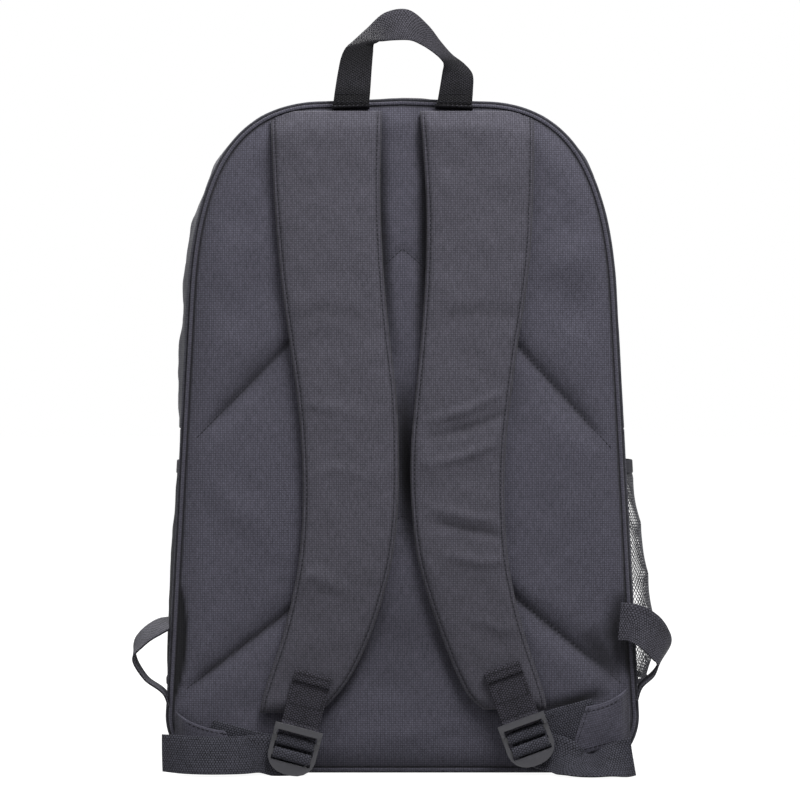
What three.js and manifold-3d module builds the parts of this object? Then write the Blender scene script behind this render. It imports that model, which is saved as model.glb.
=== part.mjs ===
// School backpack with padded back panel and two padded shoulder straps, in millimetres.
// +Z is up, -Y faces the wearer, +Y is the front pocket side, and the origin is the middle of the base.
import * as THREE from "three";
import { mergeVertices } from "three/addons/utils/BufferGeometryUtils.js";
import Module from "manifold-3d";

const wasm = await Module();
wasm.setup();

// ---------- Driving dimensions ----------
const GAP = 0.3; // clearance between pieces that touch
const CURVE_STEPS = 9; // straight pieces in each bend of the bag's outline
const RIBBON_STEPS = 4; // straight pieces between two sections of webbing

// Outline of the back panel, seen from the wearer's side
const BASE_SEAM_Z = 4;
const BASE_WIDTH = 304;
const BASE_CORNER_R = 34;
const BASE_SEAM_INSET = 6; // from the corner's bend to the seam across the base
const SHOULDER_WIDTH = 275;
const SHOULDER_Z = 315;
const SHOULDER_PULL_X = 133; // handles of the shoulder curve
const SHOULDER_PULL_Z = 400;
const CROWN_PULL_X = 107;
const CROWN_WIDTH = 104;
const CROWN_Z = 440;
const CROWN_RISE = 2;

// Depths, from the wearer's side to the front
const BACK_Y = -60;
const BACK_PAD = 10;
const BODY_DEPTH = 116;
const FRONT_SHEET = 3.7;
const GUSSET_WALL = 2.6;
const GUSSET_OUTSET = 5; // how far the gusset stands outside the back panel's seam
const PIPING_OUTSET = 3.8;
const PIPING_DEPTH = 6;
const PIPING_LOW_Z = 0.6; // the piping stays just off the ground

// Main zip, in the gusset
const ZIP_Y = 22;
const ZIP_END_Z = 228;
const ZIP_SLIT = 2;
const TAPE_WIDTH = 11;
const TAPE_SHEET = 1.6;
const TAPE_OUTSET = 3.6;
const LEAF_GAP = 0.7; // between the opening front and the fixed front
const END_TAB_HEIGHT = 13;
const END_TAB_SHEET = 1.2;

// Laptop divider and base board
const SLEEVE_DEPTH = 26;
const DIVIDER_PAD = 6;
const DIVIDER_TOP_Z = 300;
const BINDING_HEIGHT = 8;
const BINDING_INSET = 1;
const BOARD_SHEET = 1.5;
const BOARD_INSET = 28; // from the bag's side to the board's end

// Front pocket
const POCKET_WIDTH = 226;
const POCKET_LOW_Z = 16;
const POCKET_TOP_Z = 204;
const POCKET_TOP_R = 46;
const POCKET_BASE_R = 26;
const POCKET_DEPTH = 26;
const POCKET_WALL = 2;
const POCKET_FACE = 2.4;
const POCKET_ZIP_Z = 166;
const POCKET_ZIP_WIDTH = 186;
const POCKET_TAPE_WIDTH = 7;
const POCKET_TAPE_RECESS = 0.4; // how far the tapes lie behind the pocket's face

// Side mesh pockets
const MESH_REAR_Y = -31;
const MESH_FRONT_Y = 44;
const MESH_LOW_Z = 57;
const MESH_HEIGHT = 141;
const MESH_SHEET = 1.2;
const MESH_FLOOR = 2;
// How far each pocket stands out from the side at its floor, its belly and its mouth
const MESH_BULGE = { left: [3, 5, 4], right: [9, 17, 7.5] };
const MESH_BELLY_HEIGHT = 45;
const MESH_END_BEND = 6; // how softly the net's ends leave the side
const ELASTIC_HEIGHT = 9;
const ELASTIC_SHEET = 1.6;

// Webbing
const WEBBING_WIDTH = 25;
const WEBBING_SHEET = 1.4;
const HAUL_SPAN = 69; // between the middles of the haul loop's legs
const HAUL_RISE = 53;

// Shoulder straps: height, distance of the middle from the bag's centre line, width
const STRAP_STATIONS = [
  [CROWN_Z + 3, 53, 75],
  [380, 53, 71],
  [300, 44.5, 65],
  [216, 36.6, 64.7],
  [150, 40, 62],
  [100, 52.5, 53],
  [60, 67.5, 45],
];
const STRAP_END = { middle: 75, width: 38, left: 42, right: 48 };
const STRAP_PAD = 10;
const STRAP_SWAY = 2.6; // both straps sit this far towards +X

// Ladder locks, at the middle of their top bars; lean turns them out from upright
const LOCKS = {
  left: { x: -68, z: 30.5, lean: -15 },
  right: { x: 78, z: 36, lean: 20 },
};
const LOCK_SIDE = 2.8; // the lock's walls beside its slots
const LOCK_SLOT_EASE = 0.7; // between the webbing's edge and the wall
const LOCK_SHEET = 3.6;
const LOCK_BAR = 3.4;
const LOCK_MID_BAR = { top: -7, low: -11 };
const LOCK_LIP_Z = -16;
const LOCK_SIDE_END_Z = -14.5; // where the straight sides turn into the rounded lip
const LOCK_LOW_Z = -29;
const WRAP_DEPTH = 0.8; // how far the webbing over the middle bar comes through behind the lock
const LOOP_EASE = 0.3; // between the lock's top bar and the webbing loop that carries it
const TAB_LENGTH = 38;
const WING = { tipX: 104, inset: 6, topZ: 60, lowZ: 26, tipTopZ: 40, tipLowZ: 15, sheet: 2 };

// Zip sliders and pulls
const SLIDER_LENGTH = 11;
const SLIDER_WIDTH = 9;
const PLATE_SHEET = 1.6;
const SLIDER_PLATE_INSET = 0.5; // the inner plate is this much smaller all round
const BRIDGE = { height: 4.2, sheet: 1.8, half: 4.6, topHalf: 2.6, wall: 1.2 }; // holds the pull
const NECK_SHEET = 1.3;
const PULL_LENGTH = 27;
const PULL_WIDTH = 7.5;
const PULL_SHEET = 1.2;
const PULL_WINDOW = { width: 3.4, length: 7.4 };
const PULL_BAR = { half: 2.9, rise: 0.8 };
const MAIN_SLIDER_OFFSET = 8.5; // from the middle of the crown, along the zip
const POCKET_SLIDER_X = -80;

// ---------- Places worked out from the driving dimensions ----------
const backInnerY = BACK_Y + BACK_PAD;
const frontY = BACK_Y + BODY_DEPTH;
const frontInnerY = frontY - FRONT_SHEET;
const rearTapeY = ZIP_Y - ZIP_SLIT / 2 - TAPE_WIDTH;
const frontTapeY = ZIP_Y + ZIP_SLIT / 2 + TAPE_WIDTH;
const dividerRearY = backInnerY + SLEEVE_DEPTH;
const dividerFrontY = dividerRearY + DIVIDER_PAD;
const strapRearY = BACK_Y - 2 * GAP;
const strapFaceY = strapRearY - STRAP_PAD;
const lockSlotHalf = WEBBING_WIDTH / 2 + LOCK_SLOT_EASE;
const loopBoreR = Math.hypot(LOCK_BAR, LOCK_SHEET) / 2 + LOOP_EASE;
const lockY = strapFaceY - GAP - WEBBING_SHEET;
const wrapRearY = LOCK_SHEET / 2 + WRAP_DEPTH;
const sideLean = Math.atan2(
  (BASE_WIDTH - SHOULDER_WIDTH) / 2,
  SHOULDER_Z - BASE_SEAM_Z - BASE_CORNER_R,
);

// ---------- Materials ----------
const finish = (color, roughness, metalness = 0) =>
  new THREE.MeshStandardMaterial({ color, roughness, metalness });
const shellFabric = finish(0x45454e, 0.9);
const strapFabric = finish(0x48484f, 0.9);
const lining = finish(0x33333a, 0.9);
const webbing = finish(0x2f2f37, 0.85);
const mesh = finish(0x3a3a44, 0.9);
const plastic = finish(0x3c3c42, 0.5);
const metal = finish(0x55565c, 0.35, 0.9);
const board = finish(0x2b2b2e, 0.7);

// ---------- Shape helpers ----------
const v2 = (x, y) => new THREE.Vector2(x, y);
const v3 = (x, y, z) => new THREE.Vector3(x, y, z);
const mirrored = (points) => points.map((p) => v2(-p.x, p.y)).reverse();

// Half of the back panel's outline, from the middle of its base to the middle of its crown.
function panelHalf() {
  const path = new THREE.Path();
  const cornerX = BASE_WIDTH / 2 - BASE_CORNER_R;
  path.moveTo(0, BASE_SEAM_Z);
  path.lineTo(cornerX, BASE_SEAM_Z);
  path.absarc(cornerX, BASE_SEAM_Z + BASE_CORNER_R, BASE_CORNER_R, -Math.PI / 2, 0, false);
  path.lineTo(SHOULDER_WIDTH / 2, SHOULDER_Z);
  path.bezierCurveTo(SHOULDER_PULL_X, SHOULDER_PULL_Z, CROWN_PULL_X, CROWN_Z, CROWN_WIDTH / 2, CROWN_Z);
  path.lineTo(0, CROWN_Z + CROWN_RISE);
  return path.getPoints(CURVE_STEPS);
}

// The bag's outline moved outwards by outset and kept at or above floorZ, anticlockwise from the base.
function bagLoop(outset, floorZ = 0) {
  const half = panelHalf();
  const loop = [...half, ...mirrored(half.slice(1, -1))];
  return loop.map((p, i) => {
    const before = loop[(i + loop.length - 1) % loop.length];
    const after = loop[(i + 1) % loop.length];
    const into = v2(p.x - before.x, p.y - before.y).normalize();
    const out = v2(after.x - p.x, after.y - p.y).normalize();
    const normal = v2(into.y + out.y, -into.x - out.x).normalize();
    const reach = outset / Math.max(0.5, normal.dot(v2(out.y, -out.x)));
    return v2(p.x + normal.x * reach, Math.max(floorZ, p.y + normal.y * reach));
  });
}

const between = (a, b, z) => v2(a.x + ((b.x - a.x) * (z - a.y)) / (b.y - a.y), z);

// The stretch of a closed outline above a height, from its right end over the crown to its left end.
function chainAbove(loop, z) {
  const first = loop.findIndex((p) => p.y > z);
  const last = loop.findLastIndex((p) => p.y > z);
  const start = between(loop[first - 1], loop[first], z);
  const end = between(loop[last], loop[(last + 1) % loop.length], z);
  return [start, ...loop.slice(first, last + 1), end];
}

// The stretch below a height, from its left end round the base to its right end.
function chainBelow(loop, z) {
  const first = loop.findIndex((p) => p.y > z);
  const last = loop.findLastIndex((p) => p.y > z);
  const start = between(loop[last], loop[(last + 1) % loop.length], z);
  const end = between(loop[first - 1], loop[first], z);
  return [start, ...loop.slice(last + 1), ...loop.slice(0, first), end];
}

const outline = (points) => new THREE.Shape(points);
const band = (outer, inner) => outline([...outer, ...[...inner].reverse()]);

function ring(outer, inner) {
  const shape = outline(outer);
  shape.holes.push(new THREE.Path(inner));
  return shape;
}

// A shape drawn in X and Z, standing between two depths.
function slab(shape, rearY, frontYTo) {
  const geometry = new THREE.ExtrudeGeometry(shape, {
    depth: frontYTo - rearY,
    bevelEnabled: false,
    curveSegments: CURVE_STEPS,
  });
  return geometry.rotateX(Math.PI / 2).translate(0, frontYTo, 0);
}

// A shape drawn in Y and Z, centred on X = 0 with the given width.
function crossSlab(shape, width) {
  const geometry = new THREE.ExtrudeGeometry(shape, {
    depth: width,
    bevelEnabled: false,
    curveSegments: CURVE_STEPS,
  });
  const turn = new THREE.Matrix4().makeBasis(v3(0, 1, 0), v3(0, 0, 1), v3(1, 0, 0));
  return geometry.applyMatrix4(turn).translate(-width / 2, 0, 0);
}

// A strip of webbing through sections, each its middle and the direction across its width.
function ribbon(sections) {
  const middle = new THREE.CatmullRomCurve3(sections.map((s) => v3(...s[0])));
  const across = new THREE.CatmullRomCurve3(sections.map((s) => v3(...s[1]).normalize()));
  const steps = RIBBON_STEPS * (sections.length - 1);
  const corners = [];
  for (let i = 0; i <= steps; i++) {
    const t = i / steps;
    const half = across.getPoint(t).setLength(WEBBING_WIDTH / 2);
    const along = middle.getTangent(t);
    const lift = v3().crossVectors(along, half).setLength(WEBBING_SHEET / 2);
    for (const [a, b] of [[1, 1], [-1, 1], [-1, -1], [1, -1]])
      corners.push(middle.getPoint(t).addScaledVector(half, a).addScaledVector(lift, b));
  }
  const faces = [0, 2, 1, 0, 3, 2];
  const end = steps * 4;
  faces.push(end, end + 1, end + 2, end, end + 2, end + 3);
  for (let i = 0; i < steps; i++)
    for (let k = 0; k < 4; k++) {
      const a = i * 4 + k;
      const b = i * 4 + ((k + 1) % 4);
      faces.push(a, b, a + 4, b, b + 4, a + 4);
    }
  const geometry = new THREE.BufferGeometry().setFromPoints(corners);
  geometry.setIndex(faces);
  return geometry;
}

function toSolid(geometry) {
  const bare = geometry.clone();
  bare.deleteAttribute("normal");
  bare.deleteAttribute("uv");
  const merged = mergeVertices(bare, 1e-4);
  return new wasm.Manifold(
    new wasm.Mesh({
      numProp: 3,
      vertProperties: merged.attributes.position.array,
      triVerts: new Uint32Array(merged.index.array),
    }),
  );
}

function toGeometry(solid) {
  const made = solid.getMesh();
  const geometry = new THREE.BufferGeometry();
  geometry.setAttribute("position", new THREE.BufferAttribute(made.vertProperties, 3));
  geometry.setIndex(new THREE.BufferAttribute(made.triVerts, 1));
  return geometry;
}

const joined = (...geometries) => toGeometry(geometries.map(toSolid).reduce((a, b) => a.add(b)));
const cut = (geometry, tool) => toGeometry(toSolid(geometry).subtract(toSolid(tool)));
const common = (a, b) => toGeometry(toSolid(a).intersect(toSolid(b)));
const block = (x, y, z, cx, cy, cz) => new THREE.BoxGeometry(x, y, z).translate(cx, cy, cz);

const backpack = new THREE.Group();

function piece(name, geometry, material, parent = backpack) {
  const made = new THREE.Mesh(geometry, material);
  made.name = name;
  parent.add(made);
  return made;
}

// X of the bag's side at a height, with the outline moved out by outset.
function sideX(z, outset) {
  const foot = v2(BASE_WIDTH / 2, BASE_SEAM_Z + BASE_CORNER_R);
  return foot.x - (z - foot.y) * Math.tan(sideLean) + outset / Math.cos(sideLean);
}

// ---------- Back panel and gusset ----------
function backPanel() {
  piece("back_panel", slab(outline(bagLoop(0)), BACK_Y, backInnerY), shellFabric);
  const piping = ring(bagLoop(PIPING_OUTSET, PIPING_LOW_Z), bagLoop(GAP, BASE_SEAM_Z - GAP));
  piece("rear_piping", slab(piping, backInnerY - PIPING_DEPTH, backInnerY), webbing);
}

function gusset() {
  const outer = bagLoop(GUSSET_OUTSET);
  const inner = bagLoop(GUSSET_OUTSET - GUSSET_WALL, GUSSET_WALL);
  const rearY = backInnerY + GAP;
  const lowZ = ZIP_END_Z - LEAF_GAP / 2;
  const arch = band(chainAbove(outer, lowZ + GAP), chainAbove(inner, lowZ + GAP));
  piece("gusset_rear", slab(arch, rearY, rearTapeY - GAP), shellFabric);

  const splitX = BASE_WIDTH / 2 - BASE_CORNER_R - BASE_SEAM_INSET;
  const baseSheet = outline([
    v2(-splitX, 0),
    v2(splitX, 0),
    v2(splitX, GUSSET_WALL),
    v2(-splitX, GUSSET_WALL),
  ]);
  piece("base_panel", slab(baseSheet, rearY, frontInnerY - GAP), shellFabric);
  const fromX = splitX + GAP;
  const outerSide = chainBelow(outer, lowZ).filter((p) => p.x > fromX);
  const innerSide = chainBelow(inner, lowZ).filter((p) => p.x > fromX);
  const rightSide = [
    v2(fromX, 0),
    ...outerSide,
    ...innerSide.reverse(),
    v2(fromX, GUSSET_WALL),
  ];
  piece("side_panel_right", slab(outline(rightSide), rearY, frontInnerY - GAP), shellFabric);
  piece("side_panel_left", slab(outline(mirrored(rightSide)), rearY, frontInnerY - GAP), shellFabric);
}

// ---------- Main zip ----------
function tapeArch(lowZ) {
  const outer = bagLoop(TAPE_OUTSET);
  const inner = bagLoop(TAPE_OUTSET - TAPE_SHEET);
  return band(chainAbove(outer, lowZ), chainAbove(inner, lowZ));
}

function mainZip() {
  const lowZ = ZIP_END_Z + LEAF_GAP / 2;
  piece("zip_tape_rear", slab(tapeArch(lowZ), rearTapeY, rearTapeY + TAPE_WIDTH), webbing);
  piece("zip_tape_front", slab(tapeArch(lowZ), frontTapeY - TAPE_WIDTH, frontTapeY), webbing);
  for (const [side, sign] of [["left", -1], ["right", 1]]) {
    const topZ = ZIP_END_Z - 2 * LEAF_GAP;
    const rise = END_TAB_HEIGHT / 2;
    const tab = block(END_TAB_SHEET, 2 * TAPE_WIDTH, END_TAB_HEIGHT, GAP + END_TAB_SHEET / 2, ZIP_Y, -rise);
    if (sign < 0) tab.applyMatrix4(new THREE.Matrix4().makeRotationZ(Math.PI)).translate(0, 2 * ZIP_Y, 0);
    const holder = new THREE.Group();
    holder.position.set(sign * sideX(topZ, GUSSET_OUTSET), 0, topZ);
    holder.rotation.y = -sign * sideLean;
    piece("zip_end_tab_" + side, tab, webbing, holder);
    backpack.add(holder);
  }
}

// ---------- Opening front ----------
function frontLeaf() {
  const lowZ = ZIP_END_Z + LEAF_GAP / 2;
  const outer = bagLoop(TAPE_OUTSET);
  const inner = bagLoop(TAPE_OUTSET - GUSSET_WALL);
  const arch = band(chainAbove(outer, lowZ), chainAbove(inner, lowZ));
  piece("gusset_front", slab(arch, frontTapeY + GAP, frontInnerY - GAP), shellFabric);
  const face = bagLoop(TAPE_OUTSET - 1);
  piece("front_panel_upper", slab(outline(chainAbove(face, lowZ)), frontInnerY, frontY), shellFabric);
  const lower = chainBelow(face, ZIP_END_Z - LEAF_GAP / 2);
  piece("front_panel_lower", slab(outline(lower), frontInnerY, frontY), shellFabric);
}

// ---------- Inside ----------
function inside() {
  const inner = bagLoop(GUSSET_OUTSET - GUSSET_WALL - GAP, GUSSET_WALL + GAP);
  const divider = outline(chainBelow(inner, DIVIDER_TOP_Z));
  piece("laptop_divider", slab(divider, dividerRearY, dividerFrontY), lining);
  const bindingLow = chainBelow(inner, DIVIDER_TOP_Z + GAP)[0];
  const bindingX = -bindingLow.x - BINDING_INSET;
  const bindingZ = DIVIDER_TOP_Z + GAP + BINDING_HEIGHT / 2;
  piece(
    "divider_binding",
    block(2 * bindingX, DIVIDER_PAD, BINDING_HEIGHT, 0, (dividerRearY + dividerFrontY) / 2, bindingZ),
    webbing,
  );
  const boardRearY = dividerFrontY + GAP;
  const boardDepth = frontInnerY - GAP - boardRearY;
  piece(
    "base_board",
    block(
      BASE_WIDTH - 2 * BOARD_INSET,
      boardDepth,
      BOARD_SHEET,
      0,
      boardRearY + boardDepth / 2,
      GUSSET_WALL + GAP + BOARD_SHEET / 2,
    ),
    board,
  );
}

// ---------- Front pocket ----------
function pocketLoop(inset) {
  const half = POCKET_WIDTH / 2 - inset;
  const low = POCKET_LOW_Z + inset;
  const top = POCKET_TOP_Z - inset;
  const baseR = POCKET_BASE_R - inset;
  const topR = POCKET_TOP_R - inset;
  const path = new THREE.Path();
  path.moveTo(0, low);
  path.lineTo(half - baseR, low);
  path.absarc(half - baseR, low + baseR, baseR, -Math.PI / 2, 0, false);
  path.lineTo(half, top - topR);
  path.absarc(half - topR, top - topR, topR, 0, Math.PI / 2, false);
  path.lineTo(0, top);
  const points = path.getPoints(4);
  return [...points, ...mirrored(points.slice(1, -1))];
}

const rectangle = (halfX, lowZ, topZ) => [
  v2(-halfX, lowZ),
  v2(halfX, lowZ),
  v2(halfX, topZ),
  v2(-halfX, topZ),
];

function frontPocket() {
  const wallFrontY = frontY + GAP + POCKET_DEPTH;
  const wall = ring(pocketLoop(0), pocketLoop(POCKET_WALL));
  piece("pocket_wall", slab(wall, frontY + GAP, wallFrontY), shellFabric);
  const faceY = wallFrontY + GAP;
  const slotHalf = POCKET_ZIP_WIDTH / 2;
  const reach = ZIP_SLIT / 2 + POCKET_TAPE_WIDTH;
  const face = ring(
    pocketLoop(0),
    rectangle(slotHalf + GAP, POCKET_ZIP_Z - reach - GAP, POCKET_ZIP_Z + reach + GAP),
  );
  piece("pocket_face", slab(face, faceY, faceY + POCKET_FACE), shellFabric);
  const tapeFaceY = faceY + POCKET_FACE - POCKET_TAPE_RECESS;
  for (const [name, low] of [
    ["pocket_zip_tape_lower", POCKET_ZIP_Z - reach],
    ["pocket_zip_tape_upper", POCKET_ZIP_Z + ZIP_SLIT / 2],
  ]) {
    const strip = outline(rectangle(slotHalf, low, low + POCKET_TAPE_WIDTH));
    piece(name, slab(strip, tapeFaceY - TAPE_SHEET, tapeFaceY), webbing);
  }
  return tapeFaceY;
}

// ---------- Side mesh pockets ----------
// The pocket's section at a height, from its rear edge over its bulge to its front edge.
function pouchCurve(bulge, inset, sign) {
  const reach = (bulge - inset) / 0.75; // a cubic curve comes three quarters of the way to its handles
  const rear = MESH_REAR_Y + inset;
  const front = MESH_FRONT_Y - inset;
  return new THREE.CubicBezierCurve(
    v2(0, rear),
    v2(sign * reach, rear + MESH_END_BEND),
    v2(sign * reach, front - MESH_END_BEND),
    v2(0, front),
  ).getPoints(12);
}

// A closed solid through level sections, each a list of points and its height.
function loft(sections) {
  const count = sections[0].points.length;
  const corners = sections.flatMap(({ points, z }) => points.map((p) => v3(p.x, p.y, z)));
  const cap = THREE.ShapeUtils.triangulateShape(sections[0].points, []);
  const last = corners.length - count;
  const faces = cap.flatMap(([a, b, c]) => [a, c, b]);
  faces.push(...cap.flatMap(([a, b, c]) => [last + a, last + b, last + c]));
  for (let level = 0; level < last; level += count)
    for (let k = 0; k < count; k++) {
      const a = level + k;
      const b = level + ((k + 1) % count);
      faces.push(a, b, a + count, b, b + count, a + count);
    }
  const geometry = new THREE.BufferGeometry().setFromPoints(corners);
  geometry.setIndex(faces);
  return geometry;
}

// Level sections of a pocket solid, closed behind at the given distance past the side's face.
function pouchSections(levels, inset, sign, behind) {
  return levels.map(([z, bulge]) => {
    const backX = -sign * behind;
    const back = behind ? [v2(backX, MESH_FRONT_Y - inset), v2(backX, MESH_REAR_Y + inset)] : [];
    const points = [...pouchCurve(bulge, inset, sign), ...back];
    return { points: sign > 0 ? points : points.reverse(), z };
  });
}

function sidePockets() {
  for (const [side, sign] of [["left", -1], ["right", 1]]) {
    const [floorBulge, belly, mouth] = MESH_BULGE[side];
    const holder = new THREE.Group();
    const seatX = sideX(MESH_LOW_Z, GUSSET_OUTSET + GAP);
    holder.position.set(sign * seatX, 0, MESH_LOW_Z);
    holder.rotation.y = -sign * sideLean;
    const levels = [
      [0, floorBulge],
      [MESH_BELLY_HEIGHT / 3, (floorBulge + 2 * belly) / 3],
      [MESH_BELLY_HEIGHT, belly],
      [(MESH_BELLY_HEIGHT + MESH_HEIGHT) / 2, (belly + mouth) / 2 + 1],
      [MESH_HEIGHT, mouth],
    ];
    const hollowLevels = levels.map(([z, bulge], i) => [i ? z : MESH_FLOOR, bulge]);
    hollowLevels.push([MESH_HEIGHT + 1, mouth]);
    const pouch = loft(pouchSections(levels, 0, sign, 0));
    const hollow = loft(pouchSections(hollowLevels, MESH_SHEET, sign, 1));
    piece("mesh_pocket_" + side, cut(pouch, hollow), mesh, holder);
    const hem = band(pouchCurve(mouth, 0, sign), pouchCurve(mouth, ELASTIC_SHEET, sign));
    const elastic = new THREE.ExtrudeGeometry(hem, { depth: ELASTIC_HEIGHT, bevelEnabled: false });
    piece("pocket_elastic_" + side, elastic.translate(0, 0, MESH_HEIGHT + GAP), webbing, holder);
    backpack.add(holder);
  }
}

// ---------- Haul loop ----------
function haulLoop() {
  const leg = HAUL_SPAN / 2;
  const footY = BACK_Y - GAP - WEBBING_SHEET / 2;
  const foot = CROWN_Z + CROWN_RISE * (1 - (HAUL_SPAN - WEBBING_WIDTH) / CROWN_WIDTH) + GAP;
  const top = foot + HAUL_RISE;
  piece(
    "haul_loop",
    ribbon([
      [[-leg, footY, foot], [12, 0, 0]],
      [[-leg + 1, footY - 1, foot + 11], [11.9, 0, -0.8]],
      [[-leg + 4, footY - 4, foot + 25], [11, -1.5, -3.6]],
      [[-leg + 8, footY - 5.5, foot + 37], [8, -4.6, -7.6]],
      [[-leg + 18.5, footY - 6, top - 2.5], [2.6, -6.6, -9.8]],
      [[-2, footY - 4.5, top], [0.3, -6.6, -10.4]],
      [[leg - 24, footY - 5, top - 2.5], [-2.6, -6.6, -9.8]],
      [[leg - 14, footY - 6, foot + 41.5], [-7.4, -5, -8.2]],
      [[leg - 5.5, footY - 5.5, foot + 29], [-10.6, -2.6, -5]],
      [[leg - 0.5, footY - 1.5, foot + 15], [-12, 0, -1]],
      [[leg, footY, foot], [-12, 0, 0]],
    ]),
    webbing,
  );
}

// ---------- Shoulder straps ----------
function strapOutline(side, sign) {
  const stations = [...STRAP_STATIONS, [STRAP_END[side], STRAP_END.middle, STRAP_END.width]];
  const edge = (hand) =>
    new THREE.SplineCurve(
      stations.map(([z, middle, width]) => v2(sign * (middle + (hand * width) / 2) + STRAP_SWAY, z)),
    ).getPoints(20);
  return outline([...edge(1), ...edge(-1).reverse()]);
}

function lockOutline() {
  const half = lockSlotHalf + LOCK_SIDE;
  const top = LOCK_BAR / 2;
  const cornerR = 3;
  const shape = new THREE.Shape();
  shape.moveTo(-half + cornerR, top);
  shape.quadraticCurveTo(-half, top, -half, top - cornerR);
  shape.lineTo(-half, LOCK_SIDE_END_Z);
  shape.bezierCurveTo(-half + 1, LOCK_LOW_Z + 3, -half / 2, LOCK_LOW_Z, 0, LOCK_LOW_Z);
  shape.bezierCurveTo(half / 2, LOCK_LOW_Z, half - 1, LOCK_LOW_Z + 3, half, LOCK_SIDE_END_Z);
  shape.lineTo(half, top - cornerR);
  shape.quadraticCurveTo(half, top, half - cornerR, top);
  shape.holes.push(new THREE.Path(rectangle(lockSlotHalf, LOCK_MID_BAR.top, -LOCK_BAR / 2)));
  shape.holes.push(new THREE.Path(rectangle(lockSlotHalf, LOCK_LIP_Z, LOCK_MID_BAR.low)));
  return shape;
}

// Doubled webbing sewn to the strap's face, with its end wrapped round the lock's top bar.
function tabProfile() {
  const outerR = loopBoreR + WEBBING_SHEET;
  const half = WEBBING_SHEET;
  const meet = Math.acos(half / outerR);
  const shape = new THREE.Shape();
  shape.moveTo(-half, TAB_LENGTH);
  shape.lineTo(half, TAB_LENGTH);
  shape.lineTo(half, outerR * Math.sin(meet));
  shape.absarc(0, 0, outerR, meet, Math.PI - meet, true);
  const bore = new THREE.Path();
  bore.absarc(0, 0, loopBoreR, 0, 2 * Math.PI, false);
  shape.holes.push(bore);
  return shape;
}

// Webbing that passes from behind over the front of the lock's middle bar and back again.
function wrapProfile() {
  const frontIn = -LOCK_SHEET / 2 - GAP;
  const frontOut = frontIn - WEBBING_SHEET;
  const topIn = LOCK_MID_BAR.top + GAP;
  const lowIn = LOCK_MID_BAR.low - GAP;
  return outline([
    v2(wrapRearY, topIn),
    v2(frontIn, topIn),
    v2(frontIn, lowIn),
    v2(wrapRearY, lowIn),
    v2(wrapRearY, lowIn - WEBBING_SHEET),
    v2(frontOut, lowIn - WEBBING_SHEET),
    v2(frontOut, topIn + WEBBING_SHEET),
    v2(wrapRearY, topIn + WEBBING_SHEET),
  ]);
}

function lockFrame(side) {
  const { x, z, lean } = LOCKS[side];
  const frame = new THREE.Group();
  frame.position.set(x, lockY, z);
  frame.rotation.y = THREE.MathUtils.degToRad(-lean);
  frame.updateMatrixWorld(true);
  backpack.add(frame);
  return frame;
}

function shoulderStraps() {
  const frames = {};
  for (const [side, sign] of [["left", -1], ["right", 1]]) {
    const pad = common(
      slab(strapOutline(side, sign), strapFaceY, strapRearY),
      slab(outline(bagLoop(-GAP)), strapFaceY, strapRearY),
    );
    piece("shoulder_pad_" + side, pad, strapFabric);
    const frame = lockFrame(side);
    piece("lock_tab_" + side, crossSlab(tabProfile(), WEBBING_WIDTH), webbing, frame);
    piece("ladder_lock_" + side, slab(lockOutline(), -LOCK_SHEET / 2, LOCK_SHEET / 2), plastic, frame);
    piece("lock_wrap_" + side, crossSlab(wrapProfile(), WEBBING_WIDTH), webbing, frame);
    frames[side] = frame;
  }
  return frames;
}

// ---------- Adjusting webbing, wings and side loops ----------
// The fabric triangle at the bag's lower side seam that holds the webbing's end.
function wing(side, sign) {
  const wingRearY = BACK_Y - 2 * GAP - WEBBING_SHEET - GAP;
  const shape = outline([
    v2(sign * sideX(WING.topZ, -WING.inset), WING.topZ),
    v2(sign * sideX(WING.lowZ, -WING.inset), WING.lowZ),
    v2(sign * (WING.tipX + 4), WING.tipLowZ),
    v2(sign * WING.tipX, WING.tipTopZ),
  ]);
  piece("wing_" + side, slab(shape, wingRearY - WING.sheet, wingRearY), shellFabric);
}

// The webbing from inside the wing to behind the lock.
function lead(side, sign, at, across, tailY) {
  const leadTopY = tailY + WEBBING_SHEET + GAP;
  const leadY = BACK_Y - 2 * GAP - WEBBING_SHEET / 2;
  const tip = WING.tipX;
  const sections = [
    [at(0, tailY, LOCK_MID_BAR.top + 1.4), across],
    [at(0, leadTopY, LOCK_MID_BAR.low - 1), across],
    [at(0, leadTopY + 1.5, LOCK_MID_BAR.low - 6), across],
    [[sign * (tip - 4), leadY - 0.3, 25.5], [sign * 3, 0, 12]],
    [[sign * (tip + 9), leadY, 29], [sign * -0.5, 0, 12.5]],
    [[sign * (tip + 24), leadY, 33], [sign * -2, 0, 12.5]],
  ];
  piece("lead_webbing_" + side, ribbon(sections), webbing);
}

// The free end from under the lock's lip to the bag's lower corner, along the ground.
// Each stop: share of the way from the lock to the bag's side, distance in front of the lock's
// middle plane, height, and the direction across the webbing.
const TAIL_STOPS = {
  left: [
    [0.28, -3.7, 14.5, [-3, 1, 11.9]],
    [0.42, 3.2, 13.8, [-0.5, 3.4, 12]],
    [0.62, 6.7, 14, [0, 3.2, 12]],
    [0.82, 4.7, 16.5, [-1.4, 2, 12.3]],
    [0.995, -1.3, 15.4, [-4.6, 0.5, 11.6]],
  ],
  right: [
    [0.325, -2.7, 14.6, [4, 1, 11.7]],
    [0.45, 4.2, 12.8, [0.5, 5, 11.2]],
    [0.575, 8.7, 12.4, [0, 5.4, 11]],
    [0.74, 7.7, 14, [0.6, 4, 11.8]],
    [0.905, 2.7, 13.6, [4.6, 2, 11.4]],
  ],
};

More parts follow.
